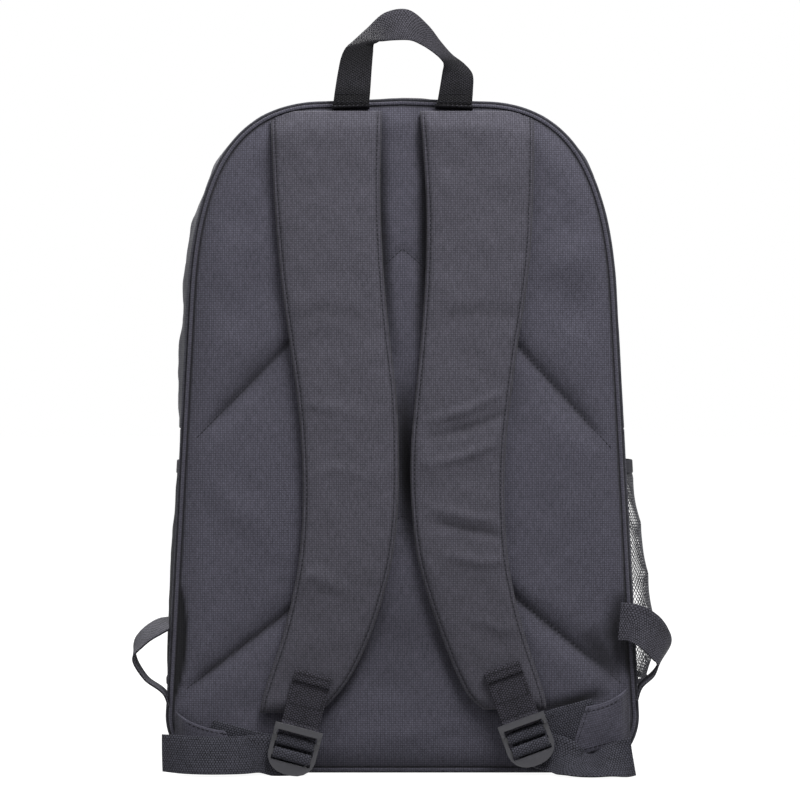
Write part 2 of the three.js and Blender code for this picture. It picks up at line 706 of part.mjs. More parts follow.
function tail(side, sign, at, across, tailY) {
  const sideEnd = sign * sideX(BASE_SEAM_Z + BASE_CORNER_R, GUSSET_OUTSET);
  const stops = TAIL_STOPS[side].map(([share, forward, z, direction]) => [
    [THREE.MathUtils.lerp(LOCKS[side].x, sideEnd, share), lockY - forward, z],
    direction,
  ]);
  const sections = [
    [at(0, tailY, LOCK_MID_BAR.low - 0.6), across],
    [at(sign * 1, tailY, LOCK_LIP_Z - 1), across],
    [at(sign * 4, tailY, LOCK_LIP_Z - 5), across],
    ...stops,
  ];
  piece("tail_webbing_" + side, ribbon(sections), webbing);
}

// The rest of the free end, looped outwards beside the bag.
// Each stop: distance out from the gusset, distance in front of the gusset's rear edge, height,
// and the direction across the webbing.
const LOOP_STOPS = {
  left: [
    [1, -5.5, 99, [0, 12, 3.6]],
    [9, -6, 96, [-1.5, 11.6, 4.6]],
    [21, -6.5, 86, [-2.4, 11.8, 3.2]],
    [23.3, -6.5, 75, [0, 12.4, 0.6]],
    [14.8, -6, 62, [0, 12.5, 0]],
    [2, -5.5, 52, [0, 12.5, 0]],
    [1, -5.5, 42, [0, 12.5, 0]],
  ],
  right: [
    [-9.5, 11.3, 98, [-3, 0, 12.1]],
    [1, 13, 96.5, [0.5, 0, 12.5]],
    [12.5, 10, 90, [6, 3, 10.5]],
    [17, 3, 79, [5.8, 9, 6.5]],
    [11.5, -3, 67, [1.5, 12.2, 1.6]],
    [2, -5.2, 56, [0, 12.5, 0]],
    [1, -5.5, 46, [0, 12.5, 0]],
  ],
};

function sideLoop(side, sign) {
  const sections = LOOP_STOPS[side].map(([out, forward, z, direction]) => [
    [sign * (sideX(z, GUSSET_OUTSET) + out), backInnerY - forward, z],
    direction,
  ]);
  piece("side_loop_" + side, ribbon(sections), webbing);
}

function adjusters(frames) {
  const tailY = wrapRearY + GAP + WEBBING_SHEET / 2;
  for (const [side, sign] of [["left", -1], ["right", 1]]) {
    const at = (x, y, z) => frames[side].localToWorld(v3(x, y, z)).toArray();
    const across = v3(sign, 0, 0).applyEuler(frames[side].rotation).toArray();
    wing(side, sign);
    lead(side, sign, at, across, tailY);
    tail(side, sign, at, across, tailY);
    sideLoop(side, sign);
  }
}

// ---------- Zip sliders and pulls ----------
// Drawn with the zip along Z, the tape's outer face at X = 0 and outwards along +X.
function sliderBody() {
  const outerX = GAP + PLATE_SHEET / 2;
  const innerX = -TAPE_SHEET - GAP - PLATE_SHEET / 2;
  const plate = block(PLATE_SHEET, SLIDER_WIDTH, SLIDER_LENGTH, outerX, 0, 0);
  const inset = 2 * SLIDER_PLATE_INSET;
  const innerPlate = block(PLATE_SHEET, SLIDER_WIDTH - inset, SLIDER_LENGTH - inset, innerX, 0, 0);
  const neckLength = SLIDER_LENGTH / 2;
  const neck = block(outerX - innerX, NECK_SHEET, neckLength, (outerX + innerX) / 2, 0, 0);
  const foot = GAP + PLATE_SHEET - BRIDGE.wall / 2;
  const top = GAP + PLATE_SHEET + BRIDGE.height;
  const arch = outline([
    v2(foot, -BRIDGE.half),
    v2((foot + 2 * top) / 3, -BRIDGE.half),
    v2(top, -BRIDGE.topHalf),
    v2(top, BRIDGE.topHalf),
    v2((foot + 2 * top) / 3, BRIDGE.half),
    v2(foot, BRIDGE.half),
    v2(foot, BRIDGE.half - BRIDGE.wall),
    v2(top - BRIDGE.wall, BRIDGE.topHalf),
    v2(top - BRIDGE.wall, -BRIDGE.topHalf),
    v2(foot, -BRIDGE.half + BRIDGE.wall),
  ]);
  const bridge = new THREE.ExtrudeGeometry(arch, { depth: BRIDGE.sheet, bevelEnabled: false })
    .rotateX(Math.PI / 2)
    .translate(0, BRIDGE.sheet / 2, 0);
  return joined(plate, innerPlate, neck, bridge);
}

// The pull trails towards -Z, with its top bar under the slider's bridge at the pivot.
const PULL_PIVOT = { x: GAP + PLATE_SHEET + 2, z: -1.4 };

function pullTab() {
  const half = PULL_WIDTH / 2;
  const waist = -PULL_WINDOW.length - 2;
  const shape = new THREE.Shape();
  shape.moveTo(-PULL_BAR.half, PULL_BAR.rise);
  shape.lineTo(PULL_BAR.half, PULL_BAR.rise);
  shape.lineTo(half, waist);
  shape.lineTo(half, -PULL_LENGTH + half);
  shape.absarc(0, -PULL_LENGTH + half, half, 0, -Math.PI, true);
  shape.lineTo(-half, waist);
  shape.holes.push(new THREE.Path(rectangle(PULL_WINDOW.width / 2, -PULL_WINDOW.length, -PULL_BAR.rise)));
  return crossSlab(shape, PULL_SHEET).translate(PULL_PIVOT.x, 0, PULL_PIVOT.z);
}

// A slider and its pull at a place, with the zip along the given direction and the pull trailing behind.
function runner(names, place, outwards, along) {
  const holder = new THREE.Group();
  const across = v3().crossVectors(along, outwards);
  holder.setRotationFromMatrix(new THREE.Matrix4().makeBasis(outwards, across, along));
  holder.position.copy(place);
  piece(names.slider, sliderBody(), metal, holder);
  piece(names.pull, pullTab(), metal, holder);
  backpack.add(holder);
}

// The two main sliders meet at the middle of the crown, with their pulls trailing outwards.
function runners(pocketTapeY) {
  const slope = Math.atan2(CROWN_RISE, CROWN_WIDTH / 2);
  for (const [side, sign] of [["left", -1], ["right", 1]]) {
    const outwards = v3(sign * Math.sin(slope), 0, Math.cos(slope));
    const along = v3(-sign * Math.cos(slope), 0, Math.sin(slope));
    const place = v3(0, ZIP_Y, CROWN_Z + CROWN_RISE)
      .addScaledVector(along, -MAIN_SLIDER_OFFSET)
      .addScaledVector(outwards, TAPE_OUTSET);
    runner({ slider: "main_slider_" + side, pull: "main_pull_" + side }, place, outwards, along);
  }
  const place = v3(POCKET_SLIDER_X, pocketTapeY, POCKET_ZIP_Z);
  runner({ slider: "pocket_slider", pull: "pocket_pull" }, place, v3(0, 1, 0), v3(1, 0, 0));
}

backPanel();
gusset();
mainZip();
frontLeaf();
inside();
const pocketTapeY = frontPocket();
sidePockets();
haulLoop();
adjusters(shoulderStraps());
runners(pocketTapeY);

export default backpack;
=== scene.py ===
"""School backpack: fabric, foam, webbing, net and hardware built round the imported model."""
import math

import bmesh
import bpy
import numpy as np
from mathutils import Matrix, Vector


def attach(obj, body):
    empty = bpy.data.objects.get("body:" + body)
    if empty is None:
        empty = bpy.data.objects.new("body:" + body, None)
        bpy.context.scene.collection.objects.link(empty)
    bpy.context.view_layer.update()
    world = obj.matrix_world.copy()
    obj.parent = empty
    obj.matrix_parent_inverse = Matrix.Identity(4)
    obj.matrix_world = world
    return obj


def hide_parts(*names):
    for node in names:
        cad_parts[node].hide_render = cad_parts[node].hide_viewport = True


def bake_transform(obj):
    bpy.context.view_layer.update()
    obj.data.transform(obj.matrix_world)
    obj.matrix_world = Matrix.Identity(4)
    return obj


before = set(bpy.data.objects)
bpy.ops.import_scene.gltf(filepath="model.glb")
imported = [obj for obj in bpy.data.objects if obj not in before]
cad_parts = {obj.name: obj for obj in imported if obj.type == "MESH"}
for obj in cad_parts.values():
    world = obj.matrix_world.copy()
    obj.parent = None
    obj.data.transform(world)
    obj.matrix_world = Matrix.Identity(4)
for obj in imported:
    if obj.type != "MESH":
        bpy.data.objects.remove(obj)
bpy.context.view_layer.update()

bpy.ops.object.select_all(action="DESELECT")

# ---------- Sizes, in millimetres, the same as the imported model's ----------
MM = 0.001
GAP = 0.3
BASE_SEAM_Z, BASE_WIDTH, BASE_CORNER_R, BASE_SEAM_INSET = 4, 304, 34, 6
SHOULDER_WIDTH, SHOULDER_Z, SHOULDER_PULL = 275, 315, (133, 400)
CROWN_PULL_X, CROWN_WIDTH, CROWN_Z, CROWN_RISE = 107, 104, 440, 2
BACK_Y, BACK_INNER_Y, FRONT_INNER_Y, FRONT_Y = -60, -50, 52.3, 56
GUSSET_WALL, GUSSET_OUTSET, TAPE_OUTSET, TAPE_SHEET = 2.6, 5, 3.6, 1.6
ZIP_Y, ZIP_END_Z, REAR_TAPE_Y, FRONT_TAPE_Y = 22, 228, 10, 34
TAPE_WIDTH, TAPE_TUCK, TOOTH_PITCH = 11, 1.3, 1.9
LEAF_GAP = 0.7
LEAF_START, LEAF_END = (0, 0.056, 0.220), (0, 0.056, 0.258)
WEBBING_WIDTH, WEBBING_SHEET = 25, 1.4
STRAP_REAR_Y, STRAP_PAD, STRAP_SWAY = -60.6, 10, 2.6
LOCK_Y = -72.3
# Each lock's top bar: its middle, across and up, and its lean in degrees.
LOCKS = {"left": (-68, 30.5, -15), "right": (78, 36, 20)}
LOCK_SHEET = 3.6
SIDES = (("left", -1), ("right", 1))
SIDE_LEAN = math.atan2((BASE_WIDTH - SHOULDER_WIDTH) / 2, SHOULDER_Z - BASE_SEAM_Z - BASE_CORNER_R)
# The ways in which the wearer's side and the front of the bag face.
OUT_BACK, OUT_FRONT = (0, -1, 0), (0, 1, 0)
POCKET_HALF, POCKET_LOW_Z, POCKET_TOP_Z, POCKET_TOP_R, POCKET_BASE_R = 113, 16, 204, 46, 26
POCKET_REAR_Y, POCKET_RIM_Y, POCKET_FACE_Y = 56.3, 82.3, 85
POCKET_ZIP_Y, POCKET_ZIP_Z, POCKET_ZIP_HALF, POCKET_TAPE_WIDTH = 83.8, 166, 93, 7
POCKET_SLOT_HALF, POCKET_WALL, POCKET_FACE_WALL = 8.3, 2.0, 2.2
POCKET_RIM_DROP, POCKET_FULLNESS, POCKET_ROUND = 3.4, 4.2, 46


# ---------- Shader building ----------
class Value:
    """A shader socket that takes part in arithmetic."""

    def __init__(self, graph, socket):
        self.graph = graph
        self.socket = socket

    def __add__(self, other):
        return self.graph.math("ADD", self, other)

    def __sub__(self, other):
        return self.graph.math("SUBTRACT", self, other)

    def __rsub__(self, other):
        return self.graph.math("SUBTRACT", other, self)

    def __mul__(self, other):
        return self.graph.math("MULTIPLY", self, other)

    def __truediv__(self, other):
        return self.graph.math("DIVIDE", self, other)

    def __pow__(self, other):
        return self.graph.math("POWER", self, other)

    __radd__ = __add__


class Graph:
    """The nodes of a material, or of the world, under construction."""

    def __init__(self, owner):
        self.owner = owner
        owner.use_nodes = True
        self.tree = owner.node_tree
        self.tree.nodes.clear()

    def node(self, kind, settings=(), sockets=(), output=0):
        """Adds a node: its settings first, then its sockets' values or links."""
        made = self.tree.nodes.new(kind)
        for key, value in dict(settings).items():
            setattr(made, key, value)
        for key, value in dict(sockets).items():
            if isinstance(value, Value):
                self.tree.links.new(value.socket, made.inputs[key])
            else:
                made.inputs[key].default_value = value
        return Value(self, made.outputs[output]) if made.outputs else made

    def math(self, operation, *values):
        return self.node("ShaderNodeMath", {"operation": operation}, enumerate(values))

    def wave(self, value, pitch):
        """A yarn's rounded back, 0 between two yarns and 1 along each, a pitch apart."""
        return self.math("ABSOLUTE", self.math("SINE", value * (math.pi / pitch)))

    def clamp(self, value):
        return self.node("ShaderNodeClamp", (), {"Value": value})

    def mix(self, dark, light, factor):
        sockets = {0: factor, 6: dark, 7: light}
        return self.node("ShaderNodeMix", {"data_type": "RGBA"}, sockets, output=2)

    def scaled(self, color, factor):
        """A colour made lighter or darker by a factor."""
        gain = self.vector(factor, factor, factor)
        return self.node("ShaderNodeVectorMath", {"operation": "MULTIPLY"}, {0: color, 1: gain})

    def painted_shade(self):
        """Painted shade at each point, 0 to 1: darker in seams, folds and hollows, between parts and on
        faces turned from the light.
        """
        return self.node("ShaderNodeAttribute", {"attribute_name": "painted_shade"}, output=2)

    def cloth(self):
        """Distances in millimetres along the two directions of the piece's cloth."""
        return self.node("ShaderNodeUVMap", {"uv_map": "cloth"})

    def body(self):
        """Places on the piece, in metres."""
        return self.node("ShaderNodeTexCoord", output=3)

    def axes(self, vector):
        parts = self.node("ShaderNodeSeparateXYZ", (), {0: vector})
        return [Value(self, out) for out in parts.socket.node.outputs]

    def vector(self, x, y, z=0.0):
        return self.node("ShaderNodeCombineXYZ", (), {0: x, 1: y, 2: z})

    def noise(self, place, scale, detail=2.0, roughness=0.5):
        sockets = {"Vector": place, "Scale": scale, "Detail": detail, "Roughness": roughness}
        return self.node("ShaderNodeTexNoise", (), sockets)

    def bump(self, height, distance, strength):
        sockets = {"Strength": strength, "Distance": distance, "Height": height}
        return self.node("ShaderNodeBump", (), sockets)

    def finished(self, color, roughness, normal, **uniform):
        """Joins the varying values to one Principled shader and gives the material."""
        sockets = {"Base Color": color, "Roughness": roughness, "Normal": normal}
        sockets.update({key.replace("_", " "): value for key, value in uniform.items()})
        shader = self.node("ShaderNodeBsdfPrincipled", (), sockets)
        self.node("ShaderNodeOutputMaterial", (), {"Surface": shader})
        return self.owner


def new_finish(name):
    """A material with no nodes yet."""
    return Graph(bpy.data.materials.new(name))


def gray(level):
    return (level, level, level, 1.0)


# ---------- Finishes ----------
WEAVE_PITCH, WEBBING_RIB, WEBBING_DASH = 1.45, 1.7, 1.5


def woven_fabric(name, color):
    """Polyester pack cloth: a plain weave of thick yarns with slubs, a soft mottle, and painted shade in
    seams, folds and hollows.
    """
    g = new_finish(name)
    place = g.cloth()
    u, v, _ = g.axes(place)
    warp = g.math("SINE", u * (math.pi / WEAVE_PITCH))
    weft = g.math("SINE", v * (math.pi / WEAVE_PITCH))
    crossing = warp * weft
    crown = g.math("ABSOLUTE", crossing) ** 0.6
    over = g.math("GREATER_THAN", crossing, 0.0)
    warp_slub = g.noise(g.vector(u * 0.8, v * 0.16), 1.0)
    weft_slub = g.noise(g.vector(u * 0.16, v * 0.8), 1.0)
    mottle = g.noise(place, 0.035, 3.0, 0.6)
    grain = g.noise(place, 0.8, 2.0, 0.7)
    level = 0.42 + crown * 0.72 + over * 0.16
    level = level + (warp_slub - 0.5) * 0.8 + (weft_slub - 0.5) * 0.4
    level = level + (mottle - 0.5) * 0.2 + (grain - 0.5) * 0.5
    # Painted shade: the colour is darkened where the piece's painted shade is set, in seams, folds and
    # hollows.
    shade = g.scaled(color, level * (1.0 - g.painted_shade() * 0.92))
    height = crown * 0.7 + over * 0.3 + (warp_slub + weft_slub) * 0.5
    normal = g.bump(height, 0.00022, 0.75)
    rough = g.clamp(0.86 - crown * 0.1 + (mottle - 0.5) * 0.12)
    return g.finished(shade, rough, normal, Sheen_Weight=0.12, Sheen_Roughness=0.45,
                      Specular_IOR_Level=0.3)


def ribbed_webbing(name, color, contrast=1.0):
    """Polypropylene webbing: short raised stitches of yarn in staggered columns."""
    g = new_finish(name)
    place = g.cloth()
    u, v, _ = g.axes(place)
    column = g.math("FLOOR", u / WEBBING_DASH)
    stagger = g.math("MODULO", g.math("ABSOLUTE", column), 2.0)
    ridge = g.math("SINE", v * (math.pi / WEBBING_RIB) + stagger * (math.pi / 2))
    ridge = g.math("ABSOLUTE", ridge) ** 0.7
    crown = ridge * g.wave(u, WEBBING_DASH) ** 0.35
    yarn = g.noise(g.vector(u * 0.5, v * 0.9), 1.0, 3.0, 0.7)
    wear = g.noise(place, 0.12, 3.0, 0.6)
    level = 0.92 - 0.9 * contrast + crown * (1.5 * contrast)
    level = level + (yarn - 0.5) * (2.6 * contrast) + (wear - 0.5) * 0.8
    level = g.clamp(level * 0.4) * 2.5
    # Painted shade: the colour is darkened where the piece's painted shade is set, as on the haul loop's
    # legs.
    shade = g.scaled(color, level * (1.0 - g.painted_shade() * 0.9))
    normal = g.bump(crown + yarn * 0.3, 0.0004, 0.9)
    rough = g.clamp(0.62 + (yarn - 0.5) * 0.3)
    return g.finished(shade, rough, normal, Sheen_Weight=0.03, Specular_IOR_Level=0.2)


def zip_weave(name, color):
    """Fine twill tape."""
    g = new_finish(name)
    place = g.cloth()
    u, v, _ = g.axes(place)
    twill = g.wave(u + v, 1.1)
    cord = g.wave(u, 2.2)
    fuzz = g.noise(place, 1.1, 3.0, 0.6)
    shade = g.scaled(color, 0.6 + twill * 0.35 + cord * 0.15 + (fuzz - 0.5) * 0.4)
    normal = g.bump(twill * 0.7 + cord * 0.5, 0.00015, 0.7)
    return g.finished(shade, g.clamp(0.8 - fuzz * 0.15), normal, Specular_IOR_Level=0.3)


def coated_lining(name, color):
    """Thin taffeta with a faint coated sheen and crinkles."""
    g = new_finish(name)
    place = g.body()
    x, _, z = g.axes(place)
    yarns = g.math("SINE", x * 3300.0) * g.math("SINE", z * 3300.0)
    crinkle = g.noise(place, 45.0, 4.0, 0.6)
    fine = g.noise(place, 400.0)
    level = 0.72 + g.math("ABSOLUTE", yarns) * 0.2 + (crinkle - 0.5) * 0.5 + (fine - 0.5) * 0.3
    normal = g.bump(crinkle * 1.6 + fine * 0.4, 0.0006, 0.5)
    rough = g.clamp(0.5 + crinkle * 0.25)
    return g.finished(g.scaled(color, level), rough, normal, Specular_IOR_Level=0.4)


def spun_yarn(name, color, scale=900.0, rough=0.8):
    """Twisted thread or net yarn, seen only as a fine broken grain."""
    g = new_finish(name)
    place = g.body()
    twist = g.noise(place, scale, 2.0, 0.6)
    patch = g.noise(place, 60.0, 3.0)
    shade = g.scaled(color, 0.62 + twist * 0.5 + (patch - 0.5) * 0.4)
    normal = g.bump(twist, 0.0001, 0.7)
    return g.finished(shade, g.clamp(rough + (twist - 0.5) * 0.25), normal, Specular_IOR_Level=0.3)


def moulded_plastic(name, color):
    """Acetal with a fine spark-eroded grain, faint flow marks and rubbed high spots."""
    g = new_finish(name)
    place = g.body()
    x, y, z = g.axes(place)
    grain = g.noise(place, 1500.0, 2.0, 0.6)
    flow = g.noise(g.vector(x * 40.0, y * 40.0, z * 160.0), 1.0, 3.0)
    scuff = g.clamp((g.noise(place, 240.0, 4.0, 0.7) - 0.56) * 9.0)
    shade = g.scaled(color, 0.85 + (flow - 0.5) * 0.25 + (grain - 0.5) * 0.22 + scuff * 0.16)
    normal = g.bump(grain, 0.00006, 0.6)
    rough = g.clamp(0.36 + (flow - 0.5) * 0.15 + scuff * 0.14)
    return g.finished(shade, rough, normal, Specular_IOR_Level=0.5)


def painted_metal(name, color, bare=(0.42, 0.42, 0.43)):
    """Die-cast zinc under dark enamel, worn to bare metal in small flecks."""
    g = new_finish(name)
    place = g.body()
    orange_peel = g.noise(place, 700.0)
    flecks = g.clamp((g.noise(place, 420.0, 5.0, 0.75) - 0.63) * 14.0)
    shade = g.mix((*color, 1.0), (*bare, 1.0), flecks * 0.6)
    shade = g.scaled(shade, 0.85 + orange_peel * 0.3)
    normal = g.bump(orange_peel - flecks * 0.4, 0.00005, 0.5)
    rough = g.clamp(0.3 + orange_peel * 0.12 + flecks * 0.1)
    return g.finished(shade, rough, normal, Metallic=g.clamp(0.35 + flecks * 0.6))


def fibre_board(name, color):
    """Pressed board with flecks and a waxed face."""
    g = new_finish(name)
    place = g.body()
    x, y, z = g.axes(place)
    fibres = g.noise(g.vector(x * 300.0, y * 900.0, z * 300.0), 1.0, 4.0, 0.7)
    flecks = g.clamp((g.noise(place, 260.0, 3.0) - 0.6) * 8.0)
    shade = g.scaled(color, 0.7 + fibres * 0.6 + flecks * 0.4)
    normal = g.bump(fibres, 0.0002, 0.5)
    return g.finished(shade, g.clamp(0.6 + fibres * 0.25), normal)


SHELL = woven_fabric("pack_cloth", (0.09, 0.087, 0.116))
STRAP_CLOTH = woven_fabric("strap_cloth", (0.092, 0.088, 0.112))
GUSSET_CLOTH = woven_fabric("gusset_cloth", (0.082, 0.081, 0.102))
WEBBING = ribbed_webbing("adjuster_webbing", (0.052, 0.052, 0.067))
LOOP_WEBBING = ribbed_webbing("loop_webbing", (0.072, 0.07, 0.088))
DARK_WEBBING = ribbed_webbing("tab_webbing", (0.036, 0.034, 0.045), contrast=1.35)
HAUL_WEBBING = ribbed_webbing("haul_webbing", (0.07, 0.067, 0.083))
BINDING = zip_weave("binding_tape", (0.055, 0.054, 0.067))
TAPE = zip_weave("zip_tape", (0.045, 0.045, 0.055))
LINING = coated_lining("lining_taffeta", (0.06, 0.06, 0.072))
THREAD = spun_yarn("sewing_thread", (0.024, 0.023, 0.03))
NET_YARN = spun_yarn("net_yarn", (0.16, 0.16, 0.175), 1200.0)
COIL = spun_yarn("zip_coil", (0.035, 0.035, 0.042), 500.0, 0.45)
PLASTIC = moulded_plastic("buckle_plastic", (0.076, 0.075, 0.086))
METAL = painted_metal("zip_enamel", (0.05, 0.05, 0.056))
BOARD = fibre_board("base_board_fibre", (0.05, 0.045, 0.042))


# ---------- Mesh helpers ----------
def unit(vectors):
    length = np.linalg.norm(vectors, axis=-1, keepdims=True)
    return vectors / np.maximum(length, 1e-9)


def bell(distance, width):
    """1 at a line, and fading smoothly with the distance from it."""
    return np.exp(-((distance / width) ** 2))


def rounded(gap, reach, power=2):
    """0 at an edge, rising as a rounded edge does to 1 at its reach."""
    return 1 - (1 - np.clip(gap / reach, 0, 1)) ** power


def run_along(points):
    """Distance along a line of points, from its first."""
    return np.r_[0, np.cumsum(np.linalg.norm(np.diff(points, axis=0), axis=1))]


def along(at, run, points):
    """Places at distances along the run of a line of points."""
    return np.stack([np.interp(at, run, points[:, k]) for k in range(points.shape[1])], -1)


def at_depth(plane, depth):
    """Places on the bag, from where they lie in its outline's plane and their depth."""
    return np.stack([plane[..., 0], np.broadcast_to(depth, plane.shape[:-1]), plane[..., 1]], -1)


def ripple(points, wavelength, seed, waves=7):
    """Smooth irregular waves over points, about -1 to 1."""
    draw = np.random.default_rng(seed)
    total = np.zeros(points.shape[:-1])
    for _ in range(waves):
        heading = unit(draw.normal(size=points.shape[-1]))
        beat = 2 * math.pi / (wavelength * draw.uniform(0.7, 1.5))
        total += np.sin(points @ heading * beat + draw.uniform(0, 2 * math.pi))
    return total / math.sqrt(waves)


def smooth_step(low, high, values):
    """0 at low and 1 at high, smooth between, whichever of the two is the larger."""
    t = np.clip((values - low) / (high - low), 0, 1)
    return t * t * (3 - 2 * t)


def resampled(points, step):
    """The same polyline with evenly spaced points about a step apart."""
    points = np.asarray(points, float)
    run = run_along(points)
    count = max(2, int(round(run[-1] / step)) + 1)
    return along(np.linspace(0, run[-1], count), run, points)


def line_distance(points, line):
    """Distance from points to a polyline, and the share of the line's run at the nearest place."""
    line = np.asarray(line, float)
    best = np.full(points.shape[:-1], 1e9)
    share = np.zeros(points.shape[:-1])
    run = run_along(line)
    for start, end, begun, ended in zip(line[:-1], line[1:], run[:-1], run[1:]):
        span = end - start
        t = np.clip(((points - start) @ span) / (span @ span), 0, 1)
        gap = np.linalg.norm(points - (start + t[..., None] * span), axis=-1)
        nearer = gap < best
        best = np.where(nearer, gap, best)
        share = np.where(nearer, (begun + t * (ended - begun)) / run[-1], share)
    return best, share


def fold(points, line, width, height):
    """A soft ridge along a line, or a hollow where the height is negative, fading at its ends."""
    gap, share = line_distance(points, line)
    fade = np.sin(np.clip(share, 0.02, 0.98) * math.pi) ** 0.6
    return height * fade * bell(gap, width)


def edge_stops(length, step, radius):
    """Distances across a strip, close together near its two edges so that they can be rounded."""
    lead_in = np.array([0, 0.12, 0.4, 1.0]) * radius
    count = max(2, int(round((length - 2 * radius) / step)) + 1)
    inner = np.linspace(radius, length - radius, count)[1:-1]
    return np.concatenate([lead_in, inner, length - lead_in[::-1]])


def quads(index):
    """The four-sided faces of a grid of point numbers."""
    corners = index[:-1, :-1], index[:-1, 1:], index[1:, 1:], index[1:, :-1]
    return np.stack(corners, -1).reshape(-1, 4)


def grid_quads(rows, cols, first=0):
    """Faces of a grid of rows and columns of points, numbered from the first."""
    return quads(first + np.arange(rows * cols).reshape(rows, cols))


def tube_faces(rings, sides, closed):
    """Faces of a tube of rings of points; a closed one runs on from its last ring to its first."""
    index = np.arange(rings * sides).reshape(rings, sides)
    if closed:
        index = np.vstack([index, index[:1]])
    return quads(np.hstack([index, index[:, :1]]))


def capped_tube_faces(rings, sides):
    """Faces of a tube with a flat face over each end, as lists."""
    last = (rings - 1) * sides
    ends = [list(range(sides))[::-1], list(range(last, last + sides))]
    return tube_faces(rings, sides, False).tolist() + ends


def closed_quads(rows, cols):
    """Faces of a slab whose two sides are grids of points, with its rim."""
    count = rows * cols
    front = grid_quads(rows, cols)
    back = grid_quads(rows, cols, count)[:, ::-1]
    index = np.arange(count).reshape(rows, cols)
    rims = []
    for line in (index[0, ::-1], index[:, 0], index[-1, :], index[::-1, -1]):
        rims.append(np.stack([line[:-1], line[1:], line[1:] + count, line[:-1] + count], -1))
    return front, back, np.concatenate(rims)


def linked(name, data):
    """A new object of the scene, at the origin."""
    made = bpy.data.objects.new(name, data)
    bpy.context.scene.collection.objects.link(made)
    return made


def mesh_object(name, points, faces, materials, cloth=None, painted_shade=None, slots=None, smooth=True):
    """An object at the origin from points in millimetres, with its cloth distances and painted shade."""
    made = bpy.data.meshes.new(name)
    faces = faces if isinstance(faces, list) else faces.tolist()
    made.from_pydata((points * MM).tolist(), [], faces)
    made.polygons.foreach_set("use_smooth", np.full(len(made.polygons), smooth))
    if cloth is not None:
        corner = np.empty(len(made.loops), int)
        made.loops.foreach_get("vertex_index", corner)
        layer = made.uv_layers.new(name="cloth")
        layer.data.foreach_set("uv", cloth[corner].astype(np.float32).ravel())
    if painted_shade is not None:
        layer = made.attributes.new("painted_shade", "FLOAT", "POINT")
        layer.data.foreach_set("value", painted_shade.astype(np.float32))
    for material in materials:
        made.materials.append(material)
    if slots is not None:
        made.polygons.foreach_set("material_index", slots)
    made.update()
    return linked(name, made)


def volume(points, faces):
    """Volume inside four-sided faces, below 0 where they point inwards."""
    a, b, c, d = (points[faces[:, k]] for k in range(4))
    return (np.einsum("ij,ij->", a, np.cross(b, c)) + np.einsum("ij,ij->", a, np.cross(c, d))) / 6


def slab_object(name, front, back, cloth, material, inner=None, painted_shade=None):
    """A closed piece between two grids of points; the inner side may have its own finish."""
    rows, cols = front.shape[:2]
    points = np.concatenate([front.reshape(-1, 3), back.reshape(-1, 3)])
    sides = closed_quads(rows, cols)
    slots = np.concatenate([np.full(len(s), k) for s, k in zip(sides, (0, 1, 0))])
    faces = np.concatenate(sides)
    if volume(points, faces) < 0:
        faces = faces[:, ::-1]
    cloth = np.tile(cloth.reshape(-1, 2), (2, 1))
    if painted_shade is not None:
        painted_shade = np.tile(painted_shade.ravel(), 2)
    materials = [material, inner or material]
    return mesh_object(name, points, faces, materials, cloth, painted_shade, slots)


def sheet_sides(middle, u, v, wall):
    """Both sides of a sheet of cloth round its middle surface, with rounded edges."""
    normal = unit(np.cross(np.gradient(middle, u, axis=1), np.gradient(middle, v, axis=0)))
    half = wall / 2
    from_u = np.minimum(u - u[0], u[-1] - u)[None, :]
    from_v = np.minimum(v - v[0], v[-1] - v)[:, None]
    near = np.clip(np.minimum(from_u, from_v) / half, 0, 1)
    full = np.maximum(0.25, np.sqrt(1 - (1 - near) ** 2))[..., None]
    return middle + normal * half * full, middle - normal * half * full


def sheet_object(name, middle, u, v, wall, material, inner=None, painted_shade=None):
    """A sheet of cloth over a grid of points: u across its columns and v along its rows."""
    front, back = sheet_sides(middle, u, v, wall)
    cloth = np.stack(np.broadcast_arrays(u[None, :], v[:, None]), -1)
    return slab_object(name, front, back, cloth, material, inner, painted_shade)


def curve_through(stops, steps):
    """A smooth curve through stops, as a draughtsman's spline with the given steps to a span."""
    stops = np.asarray(stops, float)
    padded = np.vstack([2 * stops[0] - stops[1], stops, 2 * stops[-1] - stops[-2]])
    out = []
    for k in range(1, len(padded) - 2):
        before, start, end, after = padded[k - 1 : k + 3]
        knots = [max(1e-4, np.linalg.norm(b - a) ** 0.5) for a, b in
                 ((before, start), (start, end), (end, after))]
        leave = (start - before) / knots[0] - (end - before) / (knots[0] + knots[1])
        leave = (leave + (end - start) / knots[1]) * knots[1]
        arrive = (end - start) / knots[1] - (after - start) / (knots[1] + knots[2])
        arrive = (arrive + (after - end) / knots[2]) * knots[1]
        t = np.linspace(0, 1, steps, endpoint=False)[:, None]
        out.append((2 * t**3 - 3 * t**2 + 1) * start + (t**3 - 2 * t**2 + t) * leave
                   + (3 * t**2 - 2 * t**3) * end + (t**3 - t**2) * arrive)
    return np.vstack(out + [stops[-1:]])


STITCH_PITCH, STITCH_LENGTH, STITCH_SIDES = 3.1, 2.2, 5
STITCH_RINGS = ((-1.0, 0.3), (-0.6, 0.95), (0.6, 0.95), (1.0, 0.3))


def stitch_places(line):
    """Middle and heading of each stitch along a line of points."""
    line = np.asarray(line, float)
    run = run_along(line)
    for at in np.arange(STITCH_PITCH / 2, run[-1], STITCH_PITCH):
        start, end = along(at + np.array((-1, 1)) * STITCH_LENGTH / 2, run, line)
        yield (start + end) / 2, unit(end - start)


